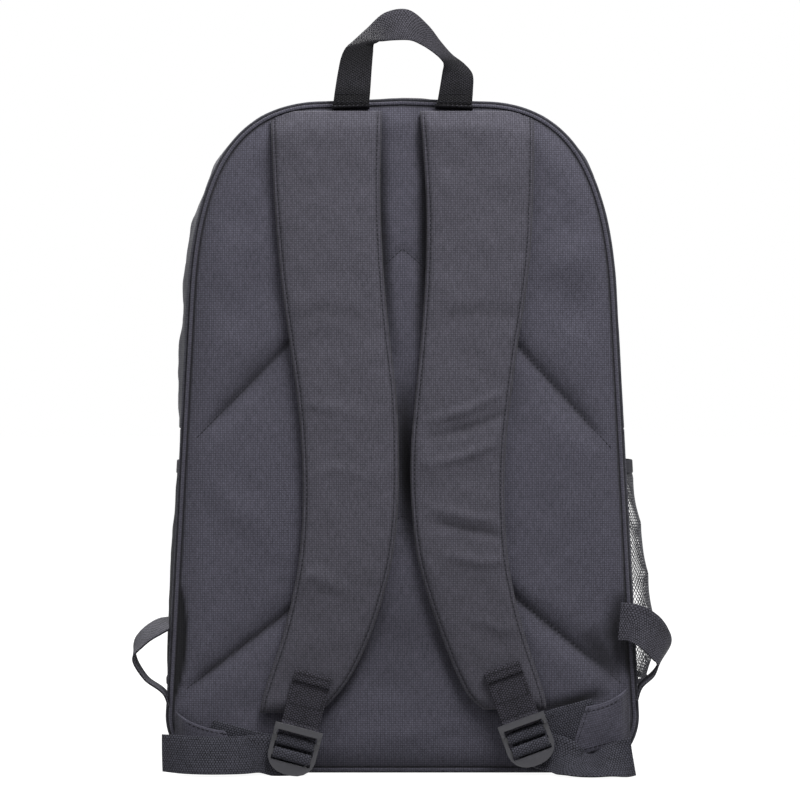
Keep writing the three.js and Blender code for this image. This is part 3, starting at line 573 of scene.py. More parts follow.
def stitching(name, rows, body, radius):
    """Rows of thread stitches, each along a line of points and seen from one side, as one piece."""
    points, faces = [], []
    one_stitch = capped_tube_faces(len(STITCH_RINGS), STITCH_SIDES)
    for line, facing in rows:
        for middle, heading in stitch_places(line):
            side = unit(np.cross(heading, facing))
            up = np.cross(side, heading)
            first = len(points)
            for reach, size in STITCH_RINGS:
                for k in range(STITCH_SIDES):
                    turn = 2 * math.pi * k / STITCH_SIDES
                    spread = (side * math.cos(turn) + up * math.sin(turn)) * radius * size
                    points.append(middle + heading * reach * STITCH_LENGTH / 2 + spread)
            faces += [[first + corner for corner in face] for face in one_stitch]
    piece = mesh_object(name, np.array(points), faces, [THREAD])
    turn_outwards(piece)
    place_piece(piece, body, "shell_fabric")


def reworked(mesh, work):
    """Opens a mesh for work on its points, edges and faces, and closes it again."""
    tool = bmesh.new()
    tool.from_mesh(mesh)
    work(tool)
    tool.to_mesh(mesh)
    tool.free()


def turn_outwards(piece):
    """Makes all faces of a closed piece point outwards."""
    reworked(piece.data, lambda tool: bmesh.ops.recalc_face_normals(tool, faces=tool.faces))


def give_finish(piece, material):
    """One smooth finish all over a piece."""
    piece.data.materials.clear()
    piece.data.materials.append(material)
    for face in piece.data.polygons:
        face.use_smooth = True
        face.material_index = 0


def place_piece(piece, body, slot, *nodes):
    """The piece rides on its body and hides the nodes it stands for; the slot is not used."""
    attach(piece, body)
    if nodes:
        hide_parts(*nodes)
    return piece


def finish_by_hand(piece, *modifiers):
    """Applies modifiers to a piece: each is its kind and its settings."""
    bpy.ops.object.select_all(action="DESELECT")
    bpy.context.view_layer.objects.active = piece
    piece.select_set(True)
    for kind, settings in modifiers:
        modifier = piece.modifiers.new(kind.lower(), kind)
        for key, value in settings.items():
            setattr(modifier, key, value)
        bpy.ops.object.modifier_apply(modifier=modifier.name)
    piece.select_set(False)


# ---------- The bag's outline ----------
def bezier(a, b, c, d, count=120):
    """A curve from a to d, leaving towards b and arriving from c."""
    t = np.linspace(0, 1, count)[:, None]
    a, b, c, d = (np.asarray(p, float) for p in (a, b, c, d))
    return (1 - t) ** 3 * a + 3 * (1 - t) ** 2 * t * b + 3 * (1 - t) * t**2 * c + t**3 * d


def arc(center, radius, start, end, count=40):
    """Points round a centre, between two directions in degrees."""
    turn = np.radians(np.linspace(start, end, count))
    return np.stack([center[0] + radius * np.cos(turn), center[1] + radius * np.sin(turn)], -1)


class Loop:
    """A closed outline, symmetrical about the middle, run anticlockwise from the middle of its base."""

    def __init__(self, half):
        half = resampled(half, 1.0)
        mirror = (half * (-1, 1))[-2:0:-1]
        self.half_count = len(half)
        self.points = np.vstack([half, mirror])
        self.closed = np.vstack([self.points, self.points[:1]])
        self.run = run_along(self.closed)
        self.total = self.run[-1]
        ahead = np.roll(self.points, -3, 0) - np.roll(self.points, 3, 0)
        normals = unit(np.stack([ahead[:, 1], -ahead[:, 0]], -1))
        self.normals = np.vstack([normals, normals[:1]])

    def at(self, run, outset=0.0, floor=0.0):
        """Points at distances along the loop, moved outwards, and their normals."""
        run = np.mod(run, self.total)
        place = along(run, self.run, self.closed)
        normal = unit(along(run, self.run, self.normals))
        moved = place + normal * np.asarray(outset)[..., None]
        moved[..., 1] = np.maximum(moved[..., 1], floor)
        return moved, normal

    def edge_gap(self, place, step=6):
        """Distance of places from the outline."""
        return line_distance(place, np.vstack([self.points[::step], self.points[:1]]))[0]

    def run_at_height(self, z):
        """Distance along the right half to a height."""
        return float(np.interp(z, self.points[: self.half_count, 1], self.run[: self.half_count]))

    def run_at_slope(self, degrees, upper):
        """Distance along the right half to where the outline faces so far from straight out."""
        normals = self.normals[: self.half_count]
        heights = self.points[: self.half_count, 1]
        middle = (heights.min() + heights.max()) / 2
        keep = heights > middle if upper else heights < middle
        lift = np.degrees(np.arctan2(normals[:, 1], normals[:, 0]))
        want = degrees if upper else -degrees
        return float(self.run[np.argmin(np.where(keep, np.abs(lift - want), 1e9))])

    def patch(self, cols, rows, outset=0.0):
        """A grid of points that fills the loop, with its edges on the loop."""
        low, high = self.run_at_slope(45, False), self.run_at_slope(45, True)
        u, v = np.linspace(0, 1, cols), np.linspace(0, 1, rows)
        bottom, _ = self.at(-low + 2 * low * u, outset)
        top, _ = self.at(self.total - high + (2 * high - self.total) * u, outset)
        left, _ = self.at(self.total - low + (low - high) * v, outset)
        right, _ = self.at(low + (high - low) * v, outset)
        u, v = u[None, :, None], v[:, None, None]
        corners = ((1 - u) * (1 - v) * bottom[0] + u * (1 - v) * bottom[-1]
                   + (1 - u) * v * top[0] + u * v * top[-1])
        return ((1 - v) * bottom[None] + v * top[None] + (1 - u) * left[:, None]
                + u * right[:, None] - corners)


def seam_half():
    """Right half of the back panel's seam, from the middle of its base to the middle of its crown."""
    corner = (BASE_WIDTH / 2 - BASE_CORNER_R, BASE_SEAM_Z + BASE_CORNER_R)
    shoulder = (SHOULDER_WIDTH / 2, SHOULDER_Z)
    crown = (CROWN_WIDTH / 2, CROWN_Z)
    return np.vstack([
        [(0, BASE_SEAM_Z)],
        arc(corner, BASE_CORNER_R, -90, 0),
        bezier(shoulder, SHOULDER_PULL, (CROWN_PULL_X, CROWN_Z), crown),
        [(0, CROWN_Z + CROWN_RISE)],
    ])


SEAM = Loop(seam_half())


def side_x(z, outset):
    """How far out the bag's leaning side stands at a height."""
    lean = math.tan(SIDE_LEAN)
    return BASE_WIDTH / 2 - (z - BASE_SEAM_Z - BASE_CORNER_R) * lean + outset / math.cos(SIDE_LEAN)


def inner_half(z):
    """Half width of the room inside the gusset at a height."""
    right = SEAM.points[: SEAM.half_count]
    normals = SEAM.normals[: SEAM.half_count]
    inner = right + normals * (GUSSET_OUTSET - GUSSET_WALL - GAP)
    return np.interp(np.maximum(z, 6), inner[:, 1], inner[:, 0])


def crown_height(x):
    """Height of the panel's seam over a distance from its middle."""
    right = SEAM.points[: SEAM.half_count]
    upper = right[right[:, 1] > 200]
    return np.interp(np.abs(x), upper[::-1, 0], upper[::-1, 1])


# ---------- Padded back panel ----------
# The two sewn lines of the back panel, from left to right.
CHEVRONS = (
    [(-136, 222), (-72.6, 287), (-12, 336), (0, 347), (14, 335), (77, 282), (139, 214)],
    [(-143, 56), (-68, 113.5), (0, 171), (74, 117), (147, 58)],
)
# How strong the painted shade along each sewn line is.
CHEVRON_SHADES = (0.75, 1.0)
CHEVRON_STITCH_DEPTH, CHEVRON_STITCH_WIDTH = 2.2, 1.7
CHEVRON_HOLLOW_DEPTH, CHEVRON_HOLLOW_WIDTH = 3.2, 8
# Each fold: its line, its width and how far it stands out.
BACK_FOLDS = (
    ([(112, 104), (124, 84), (132, 58)], 9, 1.2),
    ([(-126, 112), (-133, 88), (-128, 60)], 9, 1.4),
    ([(-122, 374), (-108, 362), (-98, 350)], 11, -1.8),
    ([(-132, 352), (-118, 330), (-100, 312)], 13, 1.4),
    ([(130, 372), (116, 362), (102, 356)], 12, -2.0),
    ([(136, 322), (122, 306), (112, 290)], 13, -1.6),
    ([(132, 345), (112, 338), (98, 330)], 10, 1.4),
    ([(-134, 206), (-112, 176), (-84, 160)], 11, 1.3),
    ([(134, 200), (112, 172), (88, 150)], 11, 1.3),
    ([(-60, 36), (0, 27), (52, 38)], 8, 1.2),
    ([(-50, 66), (0, 54), (60, 70)], 12, -1.2),
    ([(-118, 24), (-88, 36), (-60, 62)], 8, 1.2),
    ([(118, 24), (92, 40), (74, 66)], 8, -1.2),
)
# Each hollow: its line, its width, how far it sinks and how dark the painted shade in it lies. Some are
# mostly painted shadow: between the straps, beside their inner edges, over the right wing and low in the
# middle.
PANEL_HOLLOWS = (
    ([(147, 122), (140, 92), (146, 60)], 7.5, 3.5, 0.85),
    ([(147, 60), (134, 76), (120, 96)], 9, 3.5, 0.8),
    ([(3, 262), (1, 236), (2, 210), (3.5, 150)], 7, 5.0, 1.0),
    ([(-6, 128), (-18, 92), (-38, 58), (-60, 40)], 5.5, 1.0, 0.45),
    ([(10, 128), (24, 92), (40, 56), (60, 34)], 5.5, 1.0, 0.45),
    ([(-15, 440), (-15.5, 380), (-12.5, 330), (-8, 280)], 4.2, 2.8, 0.9),
    ([(11, 440), (15, 390), (15, 340), (11.5, 280)], 4.4, 2.8, 0.9),
    ([(88, 41), (112, 47.5), (136, 54)], 4.2, 2.0, 1.0),
    ([(-14, 132), (0, 96), (8, 52)], 34, 0.0, 0.2),
)
# Each pinch: its side, the heights it lies between, how far in it reaches from the seam, how softly it
# ends, how far it sinks, and how dark the painted shade in it lies.
SIDE_PINCHES = (
    {"hand": -1, "low": 44, "high": 128, "reach": 8.0, "soft": 2.2, "sink": 4.5, "shade": 0.97},
    {"hand": 1, "low": 56, "high": 124, "reach": 9.0, "soft": 6.0, "sink": 4.5, "shade": 0.97},
)
PANEL_EDGE_Y, PANEL_SEAM_Y, STRAP_CLEAR_Y = -53.0, -52.4, -59.6
PANEL_RISE, PANEL_ROUND, PANEL_FULLNESS = 6.6, 20, 2.3


def press_chevrons(place, gap, inside, depth, painted_shade):
    """The sewn chevrons: each a sharp line of stitches in a wide hollow, pressed less at its middle, with
    painted shade along it.
    """
    pressed = inside * (1 - 0.72 * smooth_step(30, 15, np.abs(place[..., 0])))
    for chevron, shade in zip(CHEVRONS, CHEVRON_SHADES):
        away, _ = line_distance(place, chevron)
        stitched = CHEVRON_STITCH_DEPTH * bell(away, CHEVRON_STITCH_WIDTH)
        hollow = CHEVRON_HOLLOW_DEPTH * bell(away, CHEVRON_HOLLOW_WIDTH)
        depth = depth + pressed * (stitched + hollow)
        # Painted shade along the sewn line and its hollow.
        lines = 0.5 * bell(away, 1.4) + 0.32 * bell(away, 4)
        painted_shade = np.maximum(painted_shade, smooth_step(2, 12, gap) * pressed * shade * lines)
    return depth, painted_shade


def pinch_sides(place, gap, depth, painted_shade):
    """The two places where the side seams draw the panel's edge in, dark with painted shade."""
    x, z = place[..., 0], place[..., 1]
    for pinch in SIDE_PINCHES:
        share = np.clip((z - pinch["low"]) / (pinch["high"] - pinch["low"]), 0, 1)
        reach = pinch["reach"] * np.sin(math.pi * share) ** 0.7
        beside = (np.sign(x) == pinch["hand"]) & (reach > 0.5)
        tucked = np.where(beside, smooth_step(reach, reach - pinch["soft"], gap), 0)
        depth = depth + pinch["sink"] * tucked * smooth_step(0, 3, gap)
        # Painted shade in the pinch.
        painted_shade = np.maximum(painted_shade, pinch["shade"] * tucked)
    return depth, painted_shade


def back_surface(place):
    """Depth of the back panel's outer face, and the painted shade at each point: in its seam, along its
    sewn lines, in its hollows and pinches, and between and beside the straps.
    """
    x, z = place[..., 0], place[..., 1]
    gap = SEAM.edge_gap(place)
    inside = smooth_step(2, 24, gap)
    depth = PANEL_EDGE_Y - PANEL_RISE * rounded(gap, PANEL_ROUND, PANEL_FULLNESS)
    # Painted shade: a dark band along the seam, where the panel meets its piping.
    depth, painted_shade = press_chevrons(place, gap, inside, depth, 0.8 * bell(gap, 1.0))
    for line, width, height in BACK_FOLDS:
        depth = depth - inside * fold(place, line, width, height)
    # Painted shade in each hollow, as dark as listed.
    for line, width, sink, shade in PANEL_HOLLOWS:
        hollow = fold(place, line, width, 1.0)
        depth = depth + smooth_step(0, 8, gap) * sink * hollow
        painted_shade = np.maximum(painted_shade, shade * hollow)
    depth, painted_shade = pinch_sides(place, gap, depth, painted_shade)
    drift = 0.7 * ripple(place, 62, seed=3) + 0.25 * ripple(place, 21, seed=4)
    depth = depth - inside * drift
    under_straps = smooth_step(100, 84, np.abs(x - STRAP_SWAY)) * smooth_step(20, 40, z)
    held_back = STRAP_CLEAR_Y + (depth - STRAP_CLEAR_Y) * (1 - under_straps)
    depth = np.where(depth < STRAP_CLEAR_Y, held_back, depth)
    return np.minimum(depth, PANEL_SEAM_Y), np.clip(painted_shade, 0, 1)


def back_panel():
    """Cloth, foam and lining sewn together, with the stitches of its two chevrons."""
    place = SEAM.patch(132, 204)
    depth, painted_shade = back_surface(place)
    front, back = at_depth(place, depth), at_depth(place, BACK_INNER_Y)
    piece = slab_object("back_panel_padded", front, back, place, SHELL, LINING, painted_shade)
    place_piece(piece, "bag", "shell_fabric", "back_panel")
    rows = []
    for chevron in CHEVRONS:
        line = resampled(chevron, 2.0)
        depth, _ = back_surface(line)
        path = at_depth(line, depth - 0.1)
        rows.append((path[SEAM.edge_gap(line) > 5], OUT_BACK))
    stitching("back_panel_stitches", rows, "bag", radius=0.34)


CORD_RADIUS = 1.5


def edging_cord(name, loop, rings, sides, outset, depth, floor, material, shade):
    """Fabric-covered cord sewn into a seam, with painted shade on the side that lies in it."""
    run = np.linspace(0, loop.total, rings, endpoint=False)
    turn = np.linspace(0, 2 * math.pi, sides, endpoint=False)
    middle, normal = loop.at(run, outset, floor)
    plane = middle[:, None, :] + normal[:, None, :] * (np.cos(turn) * CORD_RADIUS)[None, :, None]
    points = at_depth(plane, depth + np.sin(turn) * CORD_RADIUS)
    points[..., 2] = np.maximum(points[..., 2], 0.2)
    cloth = np.stack(np.broadcast_arrays(run[:, None], (turn * CORD_RADIUS)[None]), -1)
    # Painted shade on the cord's side that faces into the seam.
    painted_shade = np.broadcast_to(np.clip(-np.cos(turn), 0, 1) * shade, plane.shape[:2]).ravel()
    faces = tube_faces(rings, sides, True)
    piece = mesh_object(name, points.reshape(-1, 3), faces, [material], cloth.reshape(-1, 2), painted_shade)
    turn_outwards(piece)
    return piece


def piping():
    """Cord in the seam between the back panel and the gusset."""
    piece = edging_cord("rear_piping_cord", SEAM, rings=480, sides=12, outset=1.5, depth=-52.2,
                        floor=2.0, material=SHELL, shade=0.8)
    place_piece(piece, "bag", "webbing", "rear_piping")


# ---------- Gusset, base and sides ----------
GUSSET_LAP = 1.4
LEFT_FULLNESS, RIGHT_DRAW, WALL_FULLNESS, NET_DRAW = 4.2, 1.2, 0.8, 0.8


def bulge_of(run, depth, share):
    """How far the soft walls stand out: fuller on the left, drawn in on the right."""
    place, _ = SEAM.at(run)
    x, z = place[..., 0], place[..., 1]
    upper = smooth_step(202, 262, z) * smooth_step(430, 330, z)
    left = smooth_step(-60, -130, x) * upper
    right = smooth_step(60, 130, x) * upper
    belly = np.sin(math.pi * share)
    waves = ripple(np.stack([run, depth * 1.6], -1), 46, seed=11) * 0.9
    waves = waves + ripple(np.stack([run * 1.4, depth], -1), 17, seed=12) * 0.25
    over_net = smooth_step(40, 55, z) * smooth_step(232, 204, z) * smooth_step(100, 130, np.abs(x))
    clear = smooth_step(6, 20, z) * (1 - 0.8 * over_net)
    fullness = LEFT_FULLNESS * left - RIGHT_DRAW * right + WALL_FULLNESS + waves
    return belly * (clear * fullness - NET_DRAW * over_net)


def wall_strip(name, run, rear_y, front_y, outset):
    """A strip of the bag's wall along the outline, between two depths."""
    v = run - run[0]
    u = edge_stops(front_y - rear_y, 3.0, GUSSET_WALL / 2)
    all_run, depth = np.broadcast_arrays(run[:, None], (rear_y + u)[None, :])
    share = np.broadcast_to((u / u[-1])[None, :], all_run.shape)
    bulge = bulge_of(all_run, depth, share)
    plane, _ = SEAM.at(all_run, outset - GUSSET_WALL / 2 + bulge, GUSSET_WALL / 2)
    # Painted shade along the strip's two seams.
    painted_shade = np.broadcast_to(0.15 * bell(np.minimum(u, u[-1] - u), 1.6)[None, :], all_run.shape)
    return sheet_object(name, at_depth(plane, depth), u, v, GUSSET_WALL, GUSSET_CLOTH, LINING, painted_shade)


def runs(start, end, step=3.0, radius=1.3):
    """Stops along the outline, close together near a strip's two ends."""
    return start + edge_stops(end - start, step, radius)


def gusset():
    """The strip behind the main zip, the two sides below it and the base."""
    low = SEAM.run_at_height(ZIP_END_Z)
    rear_y = BACK_INNER_Y - GUSSET_LAP
    front_y = FRONT_INNER_Y - GAP
    arch = runs(low - 0.2, SEAM.total - low + 0.2)
    piece = wall_strip("gusset_rear_cloth", arch, rear_y, REAR_TAPE_Y - GAP, GUSSET_OUTSET)
    place_piece(piece, "bag", "shell_fabric", "gusset_rear")
    split = BASE_WIDTH / 2 - BASE_CORNER_R - BASE_SEAM_INSET
    right = runs(split + GAP, low + 0.2)
    for side, stretch in (("right", right), ("left", SEAM.total - right[::-1])):
        piece = wall_strip("side_cloth_" + side, stretch, rear_y, front_y, GUSSET_OUTSET)
        place_piece(piece, "bag", "shell_fabric", "side_panel_" + side)
    piece = wall_strip("base_cloth", runs(-split, split, 4.0), rear_y, front_y, GUSSET_OUTSET)
    place_piece(piece, "bag", "shell_fabric", "base_panel")


BINDING_WIDTH, BINDING_SHEET, BINDING_CLEAR = 8.0, 1.0, 0.6


def seam_binding(name, outset, depth):
    """Bound seam allowance inside the bag, along the joint of a panel and the wall round it."""
    v = np.linspace(0.3, SEAM.total - 0.3, 420)
    u = edge_stops(BINDING_WIDTH, 2.0, BINDING_SHEET / 2)
    run, inset = np.broadcast_arrays(v[:, None], u[None, :])
    plane, _ = SEAM.at(run, outset - inset, 2.0)
    return sheet_object(name, at_depth(plane, depth), u, v, BINDING_SHEET, BINDING)


def rear_binding():
    """Covers the joint of the back panel and the gusset from inside."""
    outset = GUSSET_OUTSET - GUSSET_WALL + 0.2
    piece = seam_binding("rear_seam_binding", outset, BACK_INNER_Y + BINDING_CLEAR)
    place_piece(piece, "bag", "webbing")


def hinge_with_leaf(piece, slot, *nodes):
    """Cloth that runs on from the fixed bag into its opening front; this only bakes its place into its
    mesh and hides its nodes.
    """
    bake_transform(piece)
    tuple(LEAF_START)
    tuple(LEAF_END)
    if nodes:
        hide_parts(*nodes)


def zip_tapes():
    """Both tapes of the main zip with their teeth, and the strip of wall in front of them."""
    low = SEAM.run_at_height(ZIP_END_Z + LEAF_GAP / 2)
    arch = runs(low, SEAM.total - low, 3.0, 0.8)
    for name, rear_y in (("rear", REAR_TAPE_Y - TAPE_TUCK), ("front", FRONT_TAPE_Y - TAPE_WIDTH)):
        u = edge_stops(TAPE_WIDTH + TAPE_TUCK, 1.8, TAPE_SHEET / 2)
        all_run, depth = np.broadcast_arrays(arch[:, None], (rear_y + u)[None, :])
        plane, _ = SEAM.at(all_run, TAPE_OUTSET - TAPE_SHEET / 2)
        middle = at_depth(plane, depth)
        tape = sheet_object("zip_tape_cloth_" + name, middle, u, arch - arch[0], TAPE_SHEET, TAPE)
        teeth = zip_teeth("zip_teeth_" + name, arch_teeth(low + 3, -1 if name == "rear" else 1))
        if name == "rear":
            place_piece(tape, "bag", "zip_tape", "zip_tape_rear")
            place_piece(teeth, "bag", "zip_tape")
        else:
            hinge_with_leaf(tape, "zip_tape", "zip_tape_front")
            hinge_with_leaf(teeth, "zip_tape")
    arch = runs(low, SEAM.total - low)
    rear_y, front_y = FRONT_TAPE_Y + GAP, FRONT_INNER_Y - GAP
    front = wall_strip("gusset_front_cloth", arch, rear_y, front_y, TAPE_OUTSET + 0.15)
    hinge_with_leaf(front, "shell_fabric", "gusset_front")


def arch_teeth(low, sign):
    """Place, outward direction and heading of each tooth of the main zip."""
    run = np.arange(low, SEAM.total - low, TOOTH_PITCH) + (0 if sign < 0 else TOOTH_PITCH / 2)
    plane, normal = SEAM.at(run, TAPE_OUTSET - TAPE_SHEET / 2)
    across = np.tile((0.0, 1.0, 0.0), (len(run), 1))
    return at_depth(plane, ZIP_Y + sign * 0.62), at_depth(normal, 0.0), across


TOOTH_SECTION = ((-1, -0.5), (-0.5, 1), (0.5, 1), (1, -0.5))
TOOTH_FACES = ((0, 1, 2, 3), (7, 6, 5, 4), (0, 4, 5, 1), (1, 5, 6, 2), (2, 6, 7, 3), (3, 7, 4, 0))


def zip_teeth(name, places, half=(0.62, 0.75, 1.0)):
    """Small rounded teeth: half sizes along the zip, off the tape and across."""
    middle, out, across = (part[:, None] for part in places)
    along_zip = np.cross(out, across)
    shape = np.array([(a, b, c) for c in (-1, 1) for a, b in TOOTH_SECTION]) * half
    a, b, c = (shape[None, :, k : k + 1] for k in range(3))
    points = middle + a * along_zip + b * out + c * across
    faces = np.array(TOOTH_FACES)[None] + 8 * np.arange(len(middle))[:, None, None]
    piece = mesh_object(name, points.reshape(-1, 3), faces.reshape(-1, 4), [COIL])
    turn_outwards(piece)
    return piece


def front_binding():
    """Covers the joint of the front panel and its gusset from inside."""
    outset = TAPE_OUTSET - GUSSET_WALL + 0.2
    piece = seam_binding("front_seam_binding", outset, FRONT_INNER_Y - BINDING_CLEAR)
    hinge_with_leaf(piece, "webbing")


END_TAB_LENGTH, END_TAB_SHEET, END_TAB_STITCH_HALF = 13, 1.2, 9.6


def end_tabs():
    """Folded tape ends that close the zip at both sides."""
    for side, sign in SIDES:
        v = edge_stops(END_TAB_LENGTH, 1.6, END_TAB_SHEET / 2)
        u = edge_stops(2 * TAPE_WIDTH, 1.6, END_TAB_SHEET / 2)
        z = ZIP_END_Z - 2 * LEAF_GAP - END_TAB_LENGTH + v
        x = sign * side_x(z, GUSSET_OUTSET + 0.9 + 0.35 * np.sin(z * 0.9))
        x, y, level = np.broadcast_arrays(x[:, None], (ZIP_Y - TAPE_WIDTH + u)[None, :], z[:, None])
        middle = np.stack([x, y, level], -1)
        piece = sheet_object("end_tab_" + side, middle, u, v, END_TAB_SHEET, BINDING)
        place_piece(piece, "bag", "webbing", "zip_end_tab_" + side)
        rows = []
        for inset in (1.6, END_TAB_LENGTH - 1.6):
            x = sign * side_x(z[0] + inset, GUSSET_OUTSET + 1.6)
            ends = [(x, ZIP_Y + end * END_TAB_STITCH_HALF, z[0] + inset) for end in (-1, 1)]
            rows.append((ends, (sign, 0, 0)))
        stitching("end_tab_stitches_" + side, rows, "bag", radius=0.26)


# ---------- Front panel, all one cloth over its hinge line ----------
FRONT_PUFF, FRONT_ROUND, FRONT_FULLNESS, FRONT_EDGE_DROP = 7.5, 60, 2.2, 1.7


def front_panel():
    """The whole front, all one cloth over its hinge line, puffed above the pocket."""
    place = SEAM.patch(110, 150, TAPE_OUTSET - 1)
    loop = SEAM.at(np.arange(0, SEAM.total, 6.0), TAPE_OUTSET - 1)[0]
    gap, _ = line_distance(place, np.vstack([loop, loop[:1]]))
    x, z = place[..., 0], place[..., 1]
    clear_of_pocket = smooth_step(206, 246, z)
    puff = FRONT_PUFF * rounded(gap, FRONT_ROUND, FRONT_FULLNESS) * clear_of_pocket
    waves = ripple(place, 70, seed=21) * 1.1 + ripple(place, 24, seed=22) * 0.3
    beside = smooth_step(POCKET_HALF + 1, POCKET_HALF + 9, np.abs(x))
    free = np.maximum(clear_of_pocket, 0.35 * beside) * smooth_step(2, 20, gap)
    front = at_depth(place, FRONT_Y - FRONT_EDGE_DROP * bell(gap, 3) + puff + waves * free)
    back = at_depth(place, FRONT_INNER_Y + puff * 0.9)
    # Painted shade along the panel's seam.
    piece = slab_object("front_cloth", front, back, place, SHELL, LINING, bell(gap, 2.4))
    hinge_with_leaf(piece, "shell_fabric", "front_panel_upper", "front_panel_lower")


# ---------- Front pocket ----------


def pocket_half():
    """Right half of the pocket's outline."""
    base = (POCKET_HALF - POCKET_BASE_R, POCKET_LOW_Z + POCKET_BASE_R)
    top = (POCKET_HALF - POCKET_TOP_R, POCKET_TOP_Z - POCKET_TOP_R)
    return np.vstack([[(0, POCKET_LOW_Z)], arc(base, POCKET_BASE_R, -90, 0),
                      arc(top, POCKET_TOP_R, 0, 90), [(0, POCKET_TOP_Z)]])


POCKET = Loop(pocket_half())


def pocket_depth(place):
    """Depth of the front pocket's outer face, full above and below its zip, and its rim's distance."""
    gap = POCKET.edge_gap(place, 5)
    off_zip = 1 - bell(place[..., 1] - POCKET_ZIP_Z, 26)
    rim = POCKET_RIM_DROP * (1 - rounded(gap, 5))
    full = POCKET_FULLNESS * rounded(gap, POCKET_ROUND) * off_zip
    waves = (ripple(place, 52, seed=31) * 0.8 + ripple(place, 19, seed=32) * 0.22) * off_zip
    return POCKET_FACE_Y - rim + full + waves * smooth_step(2, 16, gap), gap


def front_pocket():
    pocket_wall()
    pocket_face()
    piece = edging_cord("pocket_piping_cord", POCKET, rings=260, sides=10, outset=0.3,
                        depth=POCKET_RIM_Y - 0.6, floor=0.0, material=BINDING, shade=0.0)
    place_piece(piece, "bag", "webbing")
    pocket_zip()
    pocket_stitches()


def pocket_wall():
    """The strip of cloth round the pocket, closed on itself, in two trains of soft waves."""
    run = np.linspace(0, POCKET.total, 300)
    u = edge_stops(POCKET_RIM_Y - POCKET_REAR_Y, 2.4, POCKET_WALL / 2)
    all_run, depth = np.broadcast_arrays(run[:, None], (POCKET_REAR_Y + u)[None, :])
    belly = np.sin(math.pi * u / u[-1])[None, :]
    beat = 2 * math.pi / POCKET.total
    waves = 0.7 * np.sin(all_run * beat * 19 + depth * 0.2) + 0.5 * np.sin(all_run * beat * 31 + 1)
    plane, _ = POCKET.at(all_run, -1.0 + belly * (0.8 + 0.7 * waves))
    front, back = sheet_sides(at_depth(plane, depth), u, run, POCKET_WALL)
    front[0] = front[-1] = (front[0] + front[-1]) / 2
    back[0] = back[-1] = (back[0] + back[-1]) / 2
    section = np.concatenate([front[:-1], back[:-1, ::-1]], 1)
    cloth_u = np.concatenate([u, u[::-1]])
    cloth = np.stack(np.broadcast_arrays(cloth_u[None], run[:-1, None]), -1).reshape(-1, 2)
    faces = tube_faces(section.shape[0], section.shape[1], True)
    piece = mesh_object("pocket_wall_cloth", section.reshape(-1, 3), faces, [GUSSET_CLOTH], cloth)
    turn_outwards(piece)
    place_piece(piece, "bag", "shell_fabric", "pocket_wall")


def pocket_face():
    """The pocket's face, with its edges turned in and a slot for its zip."""
    place = POCKET.patch(84, 78)
    depth, gap = pocket_depth(place)
    points = at_depth(place, depth).reshape(-1, 3)
    faces = grid_quads(*depth.shape)
    # Painted shade along the face's turned-in edge.
    painted_shade = bell(gap, 2).ravel()
    piece = mesh_object("pocket_face_cloth", points, faces, [SHELL], place.reshape(-1, 2), painted_shade)
    reworked(piece.data, cut_zip_slot)
    finish_by_hand(piece, ("SOLIDIFY", {"thickness": POCKET_FACE_WALL * MM, "offset": -1.0}))
    place_piece(piece, "bag", "shell_fabric", "pocket_face")


def cut_zip_slot(tool):
    """Opens the long slot for the zip in the pocket's face."""
    low, high = (POCKET_ZIP_Z - POCKET_SLOT_HALF) * MM, (POCKET_ZIP_Z + POCKET_SLOT_HALF) * MM
    half = (POCKET_ZIP_HALF + GAP) * MM
    for place, normal in (((half, 0, 0), (1, 0, 0)), ((-half, 0, 0), (1, 0, 0)),
                          ((0, 0, low), (0, 0, 1)), ((0, 0, high), (0, 0, 1))):
        everything = tool.verts[:] + tool.edges[:] + tool.faces[:]
        bmesh.ops.bisect_plane(tool, geom=everything, dist=1e-6, plane_co=place, plane_no=normal)
    inside = []
    for face in tool.faces:
        middle = face.calc_center_median()
        if abs(middle.x) < half and low < middle.z < high:
            inside.append(face)
    bmesh.ops.delete(tool, geom=inside, context="FACES")
    bmesh.ops.recalc_face_normals(tool, faces=tool.faces)
    if sum(face.normal.y * face.calc_area() for face in tool.faces) < 0:
        bmesh.ops.reverse_faces(tool, faces=tool.faces)


def pocket_zip():
    """Both tapes of the pocket's zip and their teeth."""
    tooth_y = POCKET_ZIP_Y + 0.1
    u = edge_stops(POCKET_TAPE_WIDTH, 1.6, 0.7)
    v = edge_stops(2 * POCKET_ZIP_HALF, 4.0, 0.7)
    for name, low_z in (("lower", -POCKET_TAPE_WIDTH - 1), ("upper", 1)):
        x, z = np.broadcast_arrays((v - POCKET_ZIP_HALF)[:, None], (POCKET_ZIP_Z + low_z + u)[None, :])
        middle = np.stack([x, POCKET_ZIP_Y + 0.18 * np.sin(x * 0.21 + z), z], -1)
        piece = sheet_object("pocket_tape_" + name, middle, u, v, 1.4, TAPE)
        place_piece(piece, "bag", "zip_tape", "pocket_zip_tape_" + name)
    for name, sign in (("lower", -1), ("upper", 1)):
        x = np.arange(3 - POCKET_ZIP_HALF, POCKET_ZIP_HALF - 2, TOOTH_PITCH)
        x = x + (sign + 1) * TOOTH_PITCH / 4
        plane = np.stack([x, np.full(len(x), POCKET_ZIP_Z + sign * 0.55)], -1)
        out, across = np.tile((0.0, 1.0, 0.0), (len(x), 1)), np.tile((0.0, 0.0, 1.0), (len(x), 1))
        places = at_depth(plane, tooth_y), out, across
        teeth = zip_teeth("pocket_teeth_" + name, places, (0.6, 0.6, 0.95))
        place_piece(teeth, "bag", "zip_tape")


POCKET_STITCH_GAP, POCKET_STITCH_INSET = 11.2, 5.5


